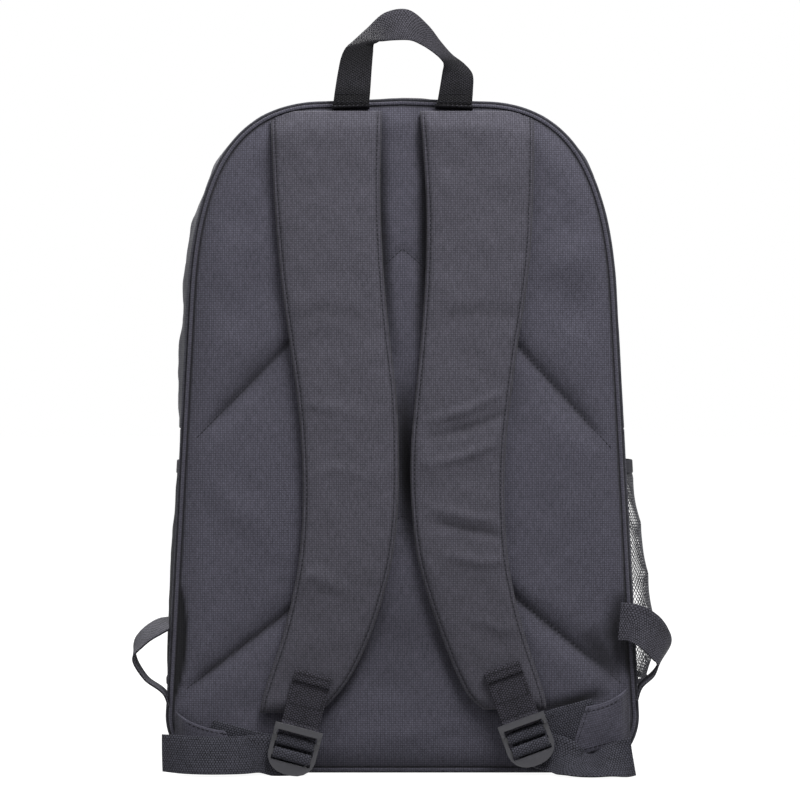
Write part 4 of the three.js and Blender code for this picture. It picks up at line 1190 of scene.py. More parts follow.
def pocket_stitches():
    """Stitches along both edges of the zip's slot and inside the pocket's rim."""
    rows = []
    for z in (POCKET_ZIP_Z - POCKET_STITCH_GAP, POCKET_ZIP_Z + POCKET_STITCH_GAP):
        line = np.stack([np.linspace(-95, 95, 90), np.full(90, z)], -1)
        rows.append((at_depth(line, pocket_depth(line)[0] + 0.12), OUT_FRONT))
    line, _ = POCKET.at(np.linspace(0, POCKET.total, 300), -POCKET_STITCH_INSET)
    rows.append((at_depth(line, pocket_depth(line)[0] + 0.1), OUT_FRONT))
    stitching("pocket_stitches", rows, "bag", radius=0.28)


# ---------- Net pockets ----------
MESH_REAR_Y, MESH_FRONT_Y, MESH_LOW_Z, MESH_HEIGHT = -31, 44, 57, 141
# How far each net stands out at its floor, belly and mouth, and the heights where that is set.
MESH_BULGE = {"left": (3, 5, 4), "right": (9, 17, 7.5)}
MESH_LEVELS = (0, 15, 45, 93, 141)
NET_RUN, NET_CELL, NET_STRETCH, NET_WIRE = 84, 3.4, 1.15, 0.52
NET_SLACK = {"left": 0.5, "right": 1.0}
ELASTIC_HEIGHT, ELASTIC_SHEET = 9, 1.4
HEM_WIDTH, HEM_FLOOR_WIDTH, HEM_SHEET = 5.0, 4.0, 1.0


def pouch_point(side, sign, share, height, inset=0.0):
    """A point of the net's surface: share round it from its rear edge, and height over its floor."""
    floor, belly, mouth = MESH_BULGE[side]
    bulges = (floor, (floor + 2 * belly) / 3, belly, (belly + mouth) / 2 + 1, mouth)
    bulge = np.interp(height, MESH_LEVELS, bulges) - inset
    reach = bulge / 0.75
    rear, front, bend = MESH_REAR_Y + 0.6, MESH_FRONT_Y - 0.6, 6
    start, leave = (1 - share) ** 3, 3 * (1 - share) ** 2 * share
    arrive, end = 3 * (1 - share) * share**2, share**3
    out = (leave + arrive) * reach
    y = start * rear + leave * (rear + bend) + arrive * (front - bend) + end * front
    z = MESH_LOW_Z + height * math.cos(SIDE_LEAN)
    base = side_x(MESH_LOW_Z, GUSSET_OUTSET + GAP) - height * math.sin(SIDE_LEAN)
    return np.stack([sign * (base + out), y, z + 0 * out], -1)


def net_knots(rows, cols):
    """Where the net's yarns cross, as shares round it and heights, and its diamond cells."""
    index, knots, cells = {}, [], []
    for row in range(2 * rows + 1):
        for col in range(row % 2, 2 * cols + 1, 2):
            index[row, col] = len(knots)
            knots.append((col / (2 * cols), MESH_HEIGHT * row / (2 * rows)))
    for row in range(1, 2 * rows):
        for col in range(1 + row % 2, 2 * cols, 2):
            corners = [(row - 1, col), (row, col + 1), (row + 1, col), (row, col - 1)]
            cells.append([index[corner] for corner in corners])
    return np.array(knots).T, cells


def net_pocket(side, sign):
    """Knotted net, sagging between its hems, with its cells' edges made into yarn."""
    rows, cols = int(MESH_HEIGHT / (NET_CELL * NET_STRETCH)), int(NET_RUN / NET_CELL)
    (shares, heights), cells = net_knots(rows, cols)
    tremble = np.stack([shares * NET_RUN, heights], -1)
    sag = np.abs(ripple(tremble, 40, seed=41 + sign) * 1.1 * np.sin(math.pi * shares))
    drift = ripple(tremble, 12, seed=43) * 0.25
    shares = np.clip(shares + drift / NET_RUN * np.sin(math.pi * shares), 0, 1)
    place = pouch_point(side, sign, shares, heights, 0.6 + sag * NET_SLACK[side])
    piece = mesh_object("net_" + side, place, cells, [NET_YARN], smooth=False)
    wire = {"thickness": NET_WIRE * MM, "use_boundary": True, "use_even_offset": False,
            "use_replace": True}
    finish_by_hand(piece, ("WIREFRAME", wire))
    place_piece(piece, "bag", "mesh", "mesh_pocket_" + side)
    net_hems(side, sign)


def net_hems(side, sign):
    """Elastic at the net's mouth and the bound hems down its ends and along its floor."""
    u = edge_stops(ELASTIC_HEIGHT, 1.5, ELASTIC_SHEET / 2)
    shares = np.linspace(0, 1, 60)
    share, height = np.broadcast_arrays(shares[:, None], (MESH_HEIGHT + u)[None, :])
    ruffle = 0.35 * np.sin(shares * NET_RUN * 1.9)[:, None]
    middle = pouch_point(side, sign, share, height, 1.0 + ruffle)
    run = run_along(middle[:, 0])
    piece = sheet_object("elastic_" + side, middle, u, run, ELASTIC_SHEET, BINDING)
    place_piece(piece, "bag", "webbing", "pocket_elastic_" + side)
    v = edge_stops(MESH_HEIGHT, 2.5, HEM_SHEET / 2)
    u = edge_stops(HEM_WIDTH, 1.2, HEM_SHEET / 2)
    for name, edge, hand in (("rear", MESH_REAR_Y, 1), ("front", MESH_FRONT_Y, -1)):
        x = sign * (side_x(MESH_LOW_Z, GUSSET_OUTSET + 0.9) - v * math.sin(SIDE_LEAN))
        y = edge + hand * (u - 2.0)
        z = MESH_LOW_Z + v * math.cos(SIDE_LEAN)
        middle = np.stack(np.broadcast_arrays(x[:, None], y[None, :], z[:, None]), -1)
        piece = sheet_object("net_hem_" + name + "_" + side, middle, u, v, HEM_SHEET, BINDING)
        place_piece(piece, "bag", "webbing")
    v = edge_stops(MESH_FRONT_Y - MESH_REAR_Y, 2.5, HEM_SHEET / 2)
    u = edge_stops(HEM_FLOOR_WIDTH, 1.2, HEM_SHEET / 2)
    share, drop = np.broadcast_arrays((v / v[-1])[:, None], u[None, :])
    middle = pouch_point(side, sign, share, drop - 0.5, 0.2)
    piece = sheet_object("net_hem_floor_" + side, middle, u, v, HEM_SHEET, BINDING)
    place_piece(piece, "bag", "webbing")


# ---------- Webbing ----------
def ribbon_object(name, stops, material, wall=WEBBING_SHEET, steps=9, cup=0.0, shade=((0, 0), (1, 0))):
    """A strip of webbing through stops, each its middle and the direction across its width."""
    middle = curve_through([place for place, _ in stops], steps)
    across = curve_through([unit(np.array(heading, float)) for _, heading in stops], steps)
    run = run_along(middle)
    ends = np.array([0.15, 0.5, 0.9]) * wall
    keep = (run > wall) & (run < run[-1] - wall)
    at = np.concatenate([[0], ends, run[keep], run[-1] - ends[::-1], [run[-1]]])
    middle, across = along(at, run, middle), unit(along(at, run, unit(across)))
    heading = unit(np.gradient(middle, axis=0))
    across = unit(across - heading * (across * heading).sum(-1, keepdims=True))
    lift = np.cross(heading, across)
    u = edge_stops(WEBBING_WIDTH, 2.4, wall / 2)
    spread = (u - WEBBING_WIDTH / 2)[None, :, None]
    curl = cup * (2 * spread / WEBBING_WIDTH) ** 2 + 0.12 * np.sin(at * 0.33)[:, None, None]
    grid = middle[:, None] + across[:, None] * spread + lift[:, None] * curl
    # Painted shade along the strip, as listed for it.
    painted_shade = shade_along(shade, at, grid)
    return sheet_object(name, grid, u, at, wall, material, painted_shade=painted_shade)


def shade_along(shade, run, grid):
    """How much painted shade each point of a strip carries, from shares of its run and the level at each.
    """
    shares, levels = np.array(shade, float).T
    return np.broadcast_to(np.interp(run / run[-1], shares, levels)[:, None], grid.shape[:2])


HAUL_FOOT_X, HAUL_STITCH_HALF, HAUL_STITCH_LEVELS = 34.2, 10, (2.2, 7.5)
# The haul loop's outer and inner edge, each across, towards the wearer and up from its foot.
HAUL_EDGES = (
    ((-45.8, 0, 0), (-22, 0, 0)),
    ((-44.6, 1.2, 9), (-21.2, 1.2, 9)),
    ((-42.4, 3.6, 22), (-20.2, 4.2, 23)),
    ((-40.4, 5.2, 31), (-19.3, 6.5, 33.8)),
    ((-37.8, 5.6, 36.6), (-18.6, 8, 39.6)),
    ((-32.6, 2, 41.8), (-15.8, 11.5, 40.6)),
    ((-23.6, -2, 50.6), (-11.6, 14, 41.1)),
    ((-11.4, -3, 61.4), (-4.8, 12.5, 41.6)),
    ((3.4, -3, 63.4), (5.4, 12.5, 41.4)),
    ((16.6, -5, 53.4), (12.6, 14, 38.4)),
    ((25.2, -6, 42.4), (20.2, 14.5, 33.6)),
    ((32.6, -3, 33.6), (25.2, 12.5, 29.4)),
    ((40.8, 2, 26.8), (27, 9.5, 26.2)),
    ((46.2, 4, 20.2), (26.2, 5.5, 21)),
    ((46.5, 1.4, 9), (24.2, 1.4, 9)),
    ((45.8, 0, 0), (22.6, 0, 0)),
)
# Shares of the haul loop's run, and how much painted shade lies at each: dark on the legs, which face
# away from the light, and light on the top, which faces up into it.
HAUL_SHADE = (
    (0, 0.98), (0.05, 0.95), (0.1, 0.65), (0.2, 0.85), (0.26, 0.95), (0.31, 0.85), (0.335, 0.6),
    (0.39, 0.5), (0.46, 0.28), (0.52, 0.2), (0.6, 0.32), (0.68, 0.3), (0.74, 0.45), (0.79, 0.9),
    (0.88, 0.65), (0.95, 0.9), (1, 0.98),
)


def haul_loop():
    """Webbing bent over by the hand, so that its top faces upwards and its legs stay face on."""
    foot = CROWN_Z + CROWN_RISE * (1 - (2 * HAUL_FOOT_X - WEBBING_WIDTH) / CROWN_WIDTH) + GAP
    foot_y = BACK_Y - GAP - WEBBING_SHEET / 2
    outer, inner = (
        curve_through([(pair[edge][0], foot_y - pair[edge][1], foot + pair[edge][2])
                       for pair in HAUL_EDGES], 9)
        for edge in (0, 1)
    )
    v = run_along((outer + inner) / 2)
    u = edge_stops(WEBBING_WIDTH, 2.4, WEBBING_SHEET / 2)
    share = (u / WEBBING_WIDTH)[None, :, None]
    grid = outer[:, None] * (1 - share) + inner[:, None] * share
    # Painted shade: the legs darkened and the top left light, as the light falls on them.
    painted_shade = shade_along(HAUL_SHADE, v, grid)
    piece = sheet_object("haul_loop_webbing", grid, u, v, WEBBING_SHEET, HAUL_WEBBING, painted_shade=painted_shade)
    place_piece(piece, "haul", "webbing", "haul_loop")
    haul_tucks(foot_y, foot)
    rows = []
    for sign in (-1, 1):
        for level in HAUL_STITCH_LEVELS:
            x, y = sign * (HAUL_FOOT_X - level * 0.04), foot_y - 0.9 - level * 0.13
            ends = [(x + end * HAUL_STITCH_HALF, y, foot + level) for end in (-1, 1)]
            rows.append((ends, OUT_BACK))
    stitching("haul_stitches", rows, "haul", radius=0.32)


def haul_tucks(foot_y, foot):
    """The haul loop's ends, which run on from its feet into the crown's seam."""
    slope = CROWN_RISE / (CROWN_WIDTH / 2)
    for side, sign in SIDES:
        x = sign * HAUL_FOOT_X
        path = ((foot_y - 0.5, foot - 0.1), (foot_y + 3.4, foot - 0.7), (BACK_INNER_Y + 2, foot - 2.2))
        stops = [((x, y, z), (1, 0, -sign * slope)) for y, z in path]
        # Painted shade on the ends, where they run into the seam.
        tuck = ribbon_object("haul_tuck_webbing_" + side, stops, HAUL_WEBBING, shade=((0, 0.7), (1, 0.7)))
        place_piece(tuck, "bag", "webbing")


def lock_place(side):
    """Turns a place on a ladder lock, from the middle of its top bar, into a place on the bag."""
    x, z, lean = LOCKS[side]
    turn = math.radians(-lean)
    cos, sin = math.cos(turn), math.sin(turn)

    def at(px, py, pz):
        return (x + px * cos + pz * sin, LOCK_Y + py, z - px * sin + pz * cos)

    return at, (cos, 0.0, -sin)


TAB_SHEET, TAB_TURN_RADIUS, TAB_LAYER, TAB_TOP = 1.36, 3.48, 0.72, 38
TAB_FOLD_Y, TAB_SEAM_X, TAB_BOX_LOW, TAB_BOX_HIGH = -2.25, 10.8, 16, 30


def lock_tab(side):
    """Doubled webbing round the lock's top bar, sewn to the strap with its end folded over."""
    at, across = lock_place(side)
    meet = math.degrees(math.acos(TAB_LAYER / TAB_TURN_RADIUS))
    path = [(TAB_LAYER, z) for z in (TAB_TOP, 26, 14, 6)]
    path += [tuple(place) for place in arc((0, 0), TAB_TURN_RADIUS, meet, -180 - meet, 14)]
    path += [(-TAB_LAYER, z) for z in (6, 14, 26, TAB_TOP - 1)] + [(-1.5, TAB_TOP + 0.3)]
    path += [(TAB_FOLD_Y, TAB_TOP - drop) for drop in (1, 3.5, 7)]
    stops = [(at(0, y, z), across) for y, z in path]
    piece = ribbon_object("lock_tab_webbing_" + side, stops, DARK_WEBBING, steps=3, wall=TAB_SHEET)
    place_piece(piece, "strap_" + side, "webbing", "lock_tab_" + side)
    x = TAB_SEAM_X
    lines = [([(-x, TAB_TOP - drop), (x, TAB_TOP - drop)], -3.0) for drop in (1.6, 5.6)]
    lines += [([(hand * x, TAB_BOX_HIGH), (hand * x, TAB_BOX_LOW)], -1.5) for hand in (-1, 1)]
    lines += [([(-x, TAB_BOX_LOW), (x, TAB_BOX_LOW)], -1.5)]
    rows = [([at(px, y, pz) for px, pz in ends], OUT_BACK) for ends, y in lines]
    stitching("tab_stitches_" + side, rows, "strap_" + side, radius=0.32)


# The webbing over the lock's inner bars, forward and up from its top bar.
WRAP_PATH = ((2.4, -5.4), (0, -5.3), (-1.8, -5.4), (-2.75, -6.4), (-2.95, -8.4), (-2.75, -10.4),
             (-1.8, -11.4), (0, -11.5), (2.4, -11.4))
WRAP_SHEET, WRAP_DROP = 1.2, 9.4


def lock_wrap(side):
    """The adjusting webbing over the front of the lock's two inner bars."""
    at, across = lock_place(side)
    for name, drop, nodes in (("wrap", 0, ["lock_wrap_" + side]), ("return", WRAP_DROP, [])):
        stops = [(at(0, y, z - drop), across) for y, z in WRAP_PATH]
        piece = ribbon_object("lock_" + name + "_webbing_" + side, stops, WEBBING, WRAP_SHEET, 4)
        place_piece(piece, "lock_" + side, "webbing", *nodes)


LEAD_LIFT = {"left": -9, "right": 5}
# Places on the lock, and the direction across the webbing where it isn't the lock's own.
LEAD_START = {
    "left": [((0, 3.6, -5.6), None), ((0, 5.3, -12), None), ((0, 6.8, -17), None)],
    "right": [((-10, 4.2, -8.5), (-2, 0, 12.3)), ((4, 4.8, -11), (-2, 0, 12.3))],
}


LEAD_TIP_X = 104


def lead_webbing(side, sign):
    """The webbing that comes down from behind the lock and runs back to the wing."""
    at, across = lock_place(side)
    across = tuple(sign * a for a in across)
    lead_y = BACK_Y - 2 * GAP - WEBBING_SHEET / 2
    tip, lift = LEAD_TIP_X, LEAD_LIFT[side]
    stops = [(at(*place), heading or across) for place, heading in LEAD_START[side]]
    stops += [
        ((sign * (tip - 4), lead_y - 0.3, 25.5 + lift), (sign * 3, 0, 12)),
        ((sign * (tip + 9), lead_y, 29 + lift), (sign * -0.5, 0, 12.5)),
        ((sign * (tip + 24), lead_y, 33 + lift), (sign * -2, 0, 12.5)),
    ]
    piece = ribbon_object("lead_" + side, stops, WEBBING)
    start, end = (sign * tip * MM, -0.062, 0.026), ((LOCKS[side][0] + sign * 6) * MM, -0.068, 0.02)
    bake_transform(piece)
    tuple(start)
    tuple(end)
    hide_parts("lead_webbing_" + side)


# Share of the way to the bag's side, towards the wearer, height, and direction across.
TAIL_STOPS = {
    "left": [
        (0.28, -3.7, 14.4, (-3, 1, 11.9)),
        (0.42, 3.2, 14.3, (-0.5, 3.4, 12)),
        (0.62, 6.7, 14.3, (0, 3.2, 12)),
        (0.82, 4.7, 14.6, (-1.4, 2, 12.3)),
        (1.01, -1.3, 15.2, (-5.4, 0.5, 11.2)),
    ],
    "right": [
        (0.325, -2.7, 13.4, (4, 2, 11.4)),
        (0.45, 3.4, 8.6, (0.5, 9.6, 7.4)),
        (0.575, 5.6, 7.4, (0, 10.8, 6.2)),
        (0.74, 6.4, 10.6, (1.2, 7.4, 9.4)),
        (0.925, 2.7, 13.2, (6.2, 1.4, 10.6)),
    ],
}


TAIL_START = ((0, 5.6, -13), (1, 5.9, -17), (4, 5.6, -21))


def tail_webbing(side, sign):
    """The webbing's spare length, from behind the lock round to the bag's side."""
    at, across = lock_place(side)
    across = tuple(sign * a for a in across)
    lock_x = LOCKS[side][0]
    end_x = sign * side_x(BASE_SEAM_Z + BASE_CORNER_R, GUSSET_OUTSET)
    stops = [(at(sign * x, y, z), across) for x, y, z in TAIL_START]
    for share, forward, z, heading in TAIL_STOPS[side]:
        stops.append(((lock_x + (end_x - lock_x) * share, LOCK_Y - forward, z), heading))
    piece = ribbon_object("tail_" + side, stops, WEBBING, cup=0.4)
    start, end = ((lock_x + sign * 14) * MM, -0.072, 0.014), (sign * 0.132, -0.072, 0.014)
    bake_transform(piece)
    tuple(start)
    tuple(end)
    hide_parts("tail_webbing_" + side)


# Out from the bag's side, towards the wearer, height, and direction across.
LOOP_STOPS = {
    "left": [
        (1, -5.5, 99, (0, 12, 3.6)),
        (9, -6, 96, (-1.5, 11.6, 4.6)),
        (21, -6.5, 86, (-2.4, 11.8, 3.2)),
        (23.3, -6.5, 75, (0, 12.4, 0.6)),
        (14.8, -6, 62, (0, 12.5, 0)),
        (1.6, -5.5, 52, (0, 12.5, 0)),
        (-1.9, -5.5, 44, (0, 12.5, 0)),
    ],
    "right": [
        (-10.5, 11.3, 101, (-1.5, 0, 12.2)),
        (-1.0, 13, 100, (1.8, 0, 12.3)),
        (7.6, 11.5, 95, (4.2, 2, 11.6)),
        (14.0, 7, 88, (5, 4, 10.7)),
        (17.6, 1.5, 80, (5.4, 7.4, 8.4)),
        (12.5, -4, 67.5, (1.5, 12.2, 1.6)),
        (2.0, -5.2, 57, (0, 12.5, 0)),
        (-1.9, -5.5, 48, (0, 12.5, 0)),
    ],
}


def side_loop(side, sign):
    """The loop of webbing at the bag's side that keeps the spare length."""
    stops = []
    for out, forward, z, heading in LOOP_STOPS[side]:
        stops.append(((sign * (side_x(z, GUSSET_OUTSET) + out), BACK_INNER_Y - forward, z), heading))
    piece = ribbon_object("side_loop_webbing_" + side, stops, LOOP_WEBBING, steps=11, cup=0.4)
    place_piece(piece, "bag", "webbing", "side_loop_" + side)


# ---------- Wings that hold the adjusting webbing ----------
# Heights of a wing's seam, and the lower and upper corner of its tip.
WING_SHAPE = {
    "left": {"seam": (19, 41), "tip": ((106, 8), (117, 29))},
    "right": {"seam": (22, 57), "tip": ((109, 11), (121, 45))},
}
WING_REACH, WING_HEIGHT, WING_WALL, WING_Y = 44, 30, 2.0, -63.3
WING_SAG, WING_STAND_OFF, WING_SWELL, WING_TUCK = 2.2, 2.6, 1.1, 7.0


def wing_surface(side, sign, t, s):
    """Places on a wing: t from its seam to its tip, and s from its lower edge to its upper."""
    low_z, top_z = WING_SHAPE[side]["seam"]
    (tip_low_x, tip_low_z), (tip_top_x, tip_top_z) = WING_SHAPE[side]["tip"]
    outer_z = low_z + (top_z - low_z) * s
    outer_x = side_x(outer_z, -2.0)
    x = outer_x + (tip_low_x + (tip_top_x - tip_low_x) * s - outer_x) * t
    z = outer_z + (tip_low_z + (tip_top_z - tip_low_z) * s - outer_z) * t
    sag = WING_SAG * np.sin(math.pi * t) * s
    stand_off = WING_STAND_OFF * np.sin(math.pi * np.clip(t * 0.9 + 0.1, 0, 1)) * s**1.5
    tuck = WING_TUCK * (1 - smooth_step(0, 0.22, t))
    swell = WING_SWELL * np.sin(math.pi * t) * np.sin(math.pi * s)
    waves = 0.35 * ripple(np.stack([t * WING_REACH, s * WING_HEIGHT], -1), 26, seed=51 + sign)
    y = WING_Y - stand_off - swell - waves * np.sin(math.pi * s) + tuck
    return np.stack([sign * x, y, z - sag], -1)


def wing(side, sign):
    """A triangle of folded cloth, sewn into the side seam, that stands off the panel along its top."""
    v = edge_stops(WING_REACH, 2.0, 1.2)
    u = edge_stops(WING_HEIGHT, 1.8, 1.2)
    t, s = np.broadcast_arrays((v / WING_REACH)[:, None], (u / WING_HEIGHT)[None, :])
    middle = wing_surface(side, sign, t, s)
    # Painted shade near the wing's seam.
    painted_shade = 0.5 * bell(t * WING_REACH, 4)
    piece = sheet_object("wing_cloth_" + side, middle, u, v, WING_WALL, SHELL, painted_shade=painted_shade)
    place_piece(piece, "bag", "shell_fabric", "wing_" + side)
    face = middle + (0, -WING_WALL / 2 - 0.12, 0)
    low, high = (int(np.argmin(np.abs(u / WING_HEIGHT - share))) for share in (0.08, 0.92))
    tip = int(np.argmin(np.abs(v / WING_REACH - 0.93)))
    rows = [(line, OUT_BACK) for line in (face[8:-2, low], face[8:-2, high], face[tip, 2:-2])]
    stitching("wing_stitches_" + side, rows, "bag", radius=0.3)


# ---------- Shoulder straps ----------
# Stations down each strap: height, middle and width.
STRAP_STATIONS = {
    "left": (
        (443, -50.4, 74), (380, -49.5, 70), (328, -46.2, 68), (288, -41.6, 66.5), (248, -36.6, 65.5),
        (212, -34.4, 63.8), (176, -34.4, 62.6), (143, -37.4, 61.4), (116, -43, 59.6), (90, -50.6, 57.4),
        (64, -61.2, 53.4), (50, -68.8, 47), (41, -74.5, 39),
    ),
    "right": (
        (443, 49.2, 76), (380, 50.8, 70.5), (341, 49.8, 68.4), (308, 46.9, 66), (282, 43.7, 64),
        (248, 39.8, 63), (216, 36.8, 62.4), (182, 36.4, 61.4), (143, 39.7, 59.6), (116, 45.9, 57),
        (90, 53.8, 55), (64, 63.4, 53), (52, 68.6, 50), (43, 74, 42),
    ),
}
STRAP_END_Z = {"left": 41, "right": 43}
STRAP_SEAM_INSET, STRAP_EDGE_PAD, STRAP_REAR_ROUND, STRAP_CHANNEL = 2.7, 4.4, 3.4, 0.6
STRAP_TUCK, STRAP_TUCK_DROP, STRAP_CRINKLE = 5.6, 22, 1.5
# Each fold of a strap: its line, its width and how far it stands out.
STRAP_FOLDS = {
    "left": (
        ([(-30, 238), (-60, 244), (-84, 236)], 4.0, 0.7),
        ([(-20, 196), (-46, 203), (-70, 192)], 4.0, 0.6),
        ([(-34, 120), (-58, 132), (-78, 126)], 4.5, 0.8),
        ([(-22, 300), (-52, 306), (-80, 298)], 5.0, -0.5),
    ),
    "right": (
        ([(14, 232), (42, 240), (66, 252)], 3.4, 1.1),
        ([(16, 222), (44, 228), (68, 238)], 3.0, -1.1),
        ([(14, 204), (40, 210), (66, 220)], 3.4, 1.0),
        ([(18, 176), (44, 170), (70, 166)], 3.2, 1.0),
        ([(18, 167), (44, 161), (72, 156)], 2.8, -1.1),
        ([(26, 146), (52, 140), (76, 142)], 3.4, 0.9),
        ([(20, 300), (52, 306), (82, 300)], 5.0, -0.5),
        ([(44, 104), (66, 96), (84, 98)], 4.0, 0.7),
    ),
}


def strap_rows(side, count=210):
    """Heights down a strap, with its middle and its width at each."""
    line = curve_through(STRAP_STATIONS[side], 24)
    line = line[line[:, 0] < CROWN_Z - 0.2]
    at = np.linspace(line[0, 0], line[-1, 0], count)
    return at, *(np.interp(-at, -line[:, 0], line[:, k]) for k in (1, 2))


def strap_profile(w):
    """Front and rear depth of a strap's section from its middle, -1 at one edge to 1 at the other."""
    full = np.sqrt(np.maximum(0, 1 - np.abs(w) ** 5))
    return STRAP_EDGE_PAD + (STRAP_PAD - STRAP_EDGE_PAD) * full, STRAP_REAR_ROUND * (1 - full)


def strap_surface(side, z, x, w, half):
    """Outer and inner depth of a strap at each point, and its painted shade: in its stitched channels and
    the hollows of its folds, and growing towards its lower end, where less light falls.
    """
    front, rear = strap_profile(w)
    inset = (1 - np.abs(w)) * half
    channel = bell(inset - STRAP_SEAM_INSET, 0.8)
    place = np.stack([x, z], -1)
    swell = ripple(place, 48, seed=61) * 0.35 + ripple(place, 15, seed=62) * 0.15
    # Painted shade: in the channels, in the folds' hollows and growing towards the strap's lower end.
    shade = 0.35 * channel + 0.14 * smooth_step(190, 90, z)
    for line, width, height in STRAP_FOLDS[side]:
        crinkle = fold(place, line, width, height * STRAP_CRINKLE)
        swell = swell + crinkle
        shade = shade + np.clip(-crinkle, 0, 1) * 0.22
    front = front - STRAP_CHANNEL * channel + swell * smooth_step(0, 7, inset) - 0.3
    taper = 0.45 + 0.55 * np.sqrt(np.clip((z - STRAP_END_Z[side]) / 7, 0, 1))
    below_seam = np.clip(crown_height(x) - z, 0, STRAP_TUCK_DROP)
    taper = taper * (0.42 + 0.58 * smooth_step(0, 15, below_seam))
    front, rear = front * taper + 0.8 * (1 - taper), rear * taper
    tuck = STRAP_TUCK * (1 - below_seam / STRAP_TUCK_DROP) ** 2.3
    return STRAP_REAR_Y - front + tuck, STRAP_REAR_Y - rear + tuck, np.clip(shade, 0, 1)


def shoulder_strap(side):
    """A padded strap with a stitched channel along both edges, tucked into the crown's seam."""
    z, middle, width = strap_rows(side)
    w = np.sin(np.linspace(-math.pi / 2, math.pi / 2, 64))
    w, half, level = np.broadcast_arrays(w[None, :], (width / 2)[:, None], z[:, None])
    x = middle[:, None] + w * half
    level = np.minimum(level, crown_height(x) - 0.6)
    front_y, rear_y, shade = strap_surface(side, level, x, w, half)
    cloth = np.stack([x, level], -1)
    # Painted shade along the strap's two edges, on top of the rest.
    painted_shade = np.maximum(shade, 0.45 * bell((1 - np.abs(w)) * half, 1.1))
    front, rear = at_depth(cloth, front_y), at_depth(cloth, rear_y)
    piece = slab_object("strap_pad_" + side, front, rear, cloth, STRAP_CLOTH, painted_shade=painted_shade)
    place_piece(piece, "strap_" + side, "strap_fabric", "shoulder_pad_" + side)
    rows = []
    keep = (z < 434) & (z > STRAP_END_Z[side] + 4)
    for hand in (-1, 1):
        share = hand * (1 - 2 * STRAP_SEAM_INSET / width)
        line_x = middle + share * width / 2
        y, _, _ = strap_surface(side, z, line_x, share, width / 2)
        rows.append((np.stack([line_x, y - 0.12, z], -1)[keep], OUT_BACK))
    stitching("strap_stitches_" + side, rows, "strap_" + side, radius=0.34)


# ---------- Ladder locks, modelled from listed lines ---
# Lines across and down the lock's plate, from the middle of its top bar.
LOCK_COLUMNS = (-16, -15, -13.2, -10.6, -7, -2.6, 2.6, 7, 10.6, 13.2, 15, 16)
LOCK_ROWS = (2.2, -2.0, -6.4, -10.4, -15.8, -19.8, -22.6, -26.5, -30.6)
LOCK_SLOTS = ((-2.0, -6.4), (-10.4, -15.8), (-19.8, -22.6))
LOCK_SLOT_HALF, LOCK_HALF, LIP_CORNER_Z, LIP_DROP = 13.2, 16, -18.4, 12.0
HOOD_REACH, HOOD_THICK, LIP_REACH, LIP_THICK = 5.4, 0.5, 1.2, 0.6
LOCK_BEVEL = {"width": 0.8 * MM, "segments": 3}
BAR_RADIUS, BAR_LENGTH = 1.7, 27.4
CHEEK_PLACE, CHEEK_SIZE = (14.6, -1.9, -2.4), (2.2, 6.8, 8.0)


def lock_plate(side):
    """A flat grid of bars and slots, whose lowest rows follow the lip's round edge."""
    columns, rows = len(LOCK_COLUMNS), len(LOCK_ROWS)
    bpy.ops.object.select_all(action="DESELECT")
    bpy.ops.mesh.primitive_grid_add(x_subdivisions=columns - 1, y_subdivisions=rows - 1, size=1)
    piece = bpy.context.object
    piece.name = "lock_moulding_" + side
    ordered = sorted(piece.data.vertices, key=lambda vertex: (-round(vertex.co.y, 5), vertex.co.x))
    for index, vertex in enumerate(ordered):
        row, column = divmod(index, columns)
        x, z = LOCK_COLUMNS[column], LOCK_ROWS[row]
        held = LOCK_ROWS[4] if abs(x) > LOCK_SLOT_HALF else LOCK_ROWS[6]
        drop = LIP_CORNER_Z - LIP_DROP * (1 - (abs(x) / LOCK_HALF) ** 2.6) ** 0.6
        if z < held:
            z = held + (z - held) * (drop - held) / (LOCK_ROWS[-1] - held)
        vertex.co = (x * MM, 0, z * MM)
    return piece


def open_slots(piece):
    """Deletes the plate's faces where the slots are."""
    bpy.ops.object.mode_set(mode="EDIT")
    tool = bmesh.from_edit_mesh(piece.data)
    for face in tool.faces:
        middle = face.calc_center_median() / MM
        in_slot = any(low < middle.z < high for high, low in LOCK_SLOTS)
        face.select_set(in_slot and abs(middle.x) < LOCK_SLOT_HALF)
    bmesh.update_edit_mesh(piece.data)
    bpy.ops.mesh.delete(type="FACE")
    bpy.ops.mesh.select_all(action="SELECT")
    bpy.ops.mesh.normals_make_consistent(inside=False)
    bpy.ops.object.mode_set(mode="OBJECT")


def ladder_lock(side):
    """A plate of bars and slots, thickened, with its lip drawn out into a rounded thumb rest."""
    piece = lock_plate(side)
    open_slots(piece)
    finish_by_hand(
        piece,
        ("SOLIDIFY", {"thickness": LOCK_SHEET * MM, "offset": 0.0}),
        ("BEVEL", {**LOCK_BEVEL, "limit_method": "ANGLE", "angle_limit": math.radians(40)}),
    )
    shape_lock(piece)
    add_lock_bar(piece)
    give_finish(piece, PLASTIC)
    bpy.ops.object.select_all(action="DESELECT")
    at, _ = lock_place(side)
    for vertex in piece.data.vertices:
        vertex.co = Vector(at(*(vertex.co / MM))) * MM
    turn_outwards(piece)
    place_piece(piece, "lock_" + side, "buckle_plastic", "ladder_lock_" + side)


def shape_lock(piece):
    """Brings the top of the frame forward as a thin hood over the tab, and thins the lip."""
    for vertex in piece.data.vertices:
        _, y, z = vertex.co / MM
        hood = smooth_step(-7.6, -4.2, z)
        lip = min(1.0, max(0.0, (-23.5 - z) / 7))
        y = y * (1 - (1 - HOOD_THICK) * hood) * (1 - (1 - LIP_THICK) * lip)
        vertex.co.y = (y - HOOD_REACH * hood - LIP_REACH * lip) * MM


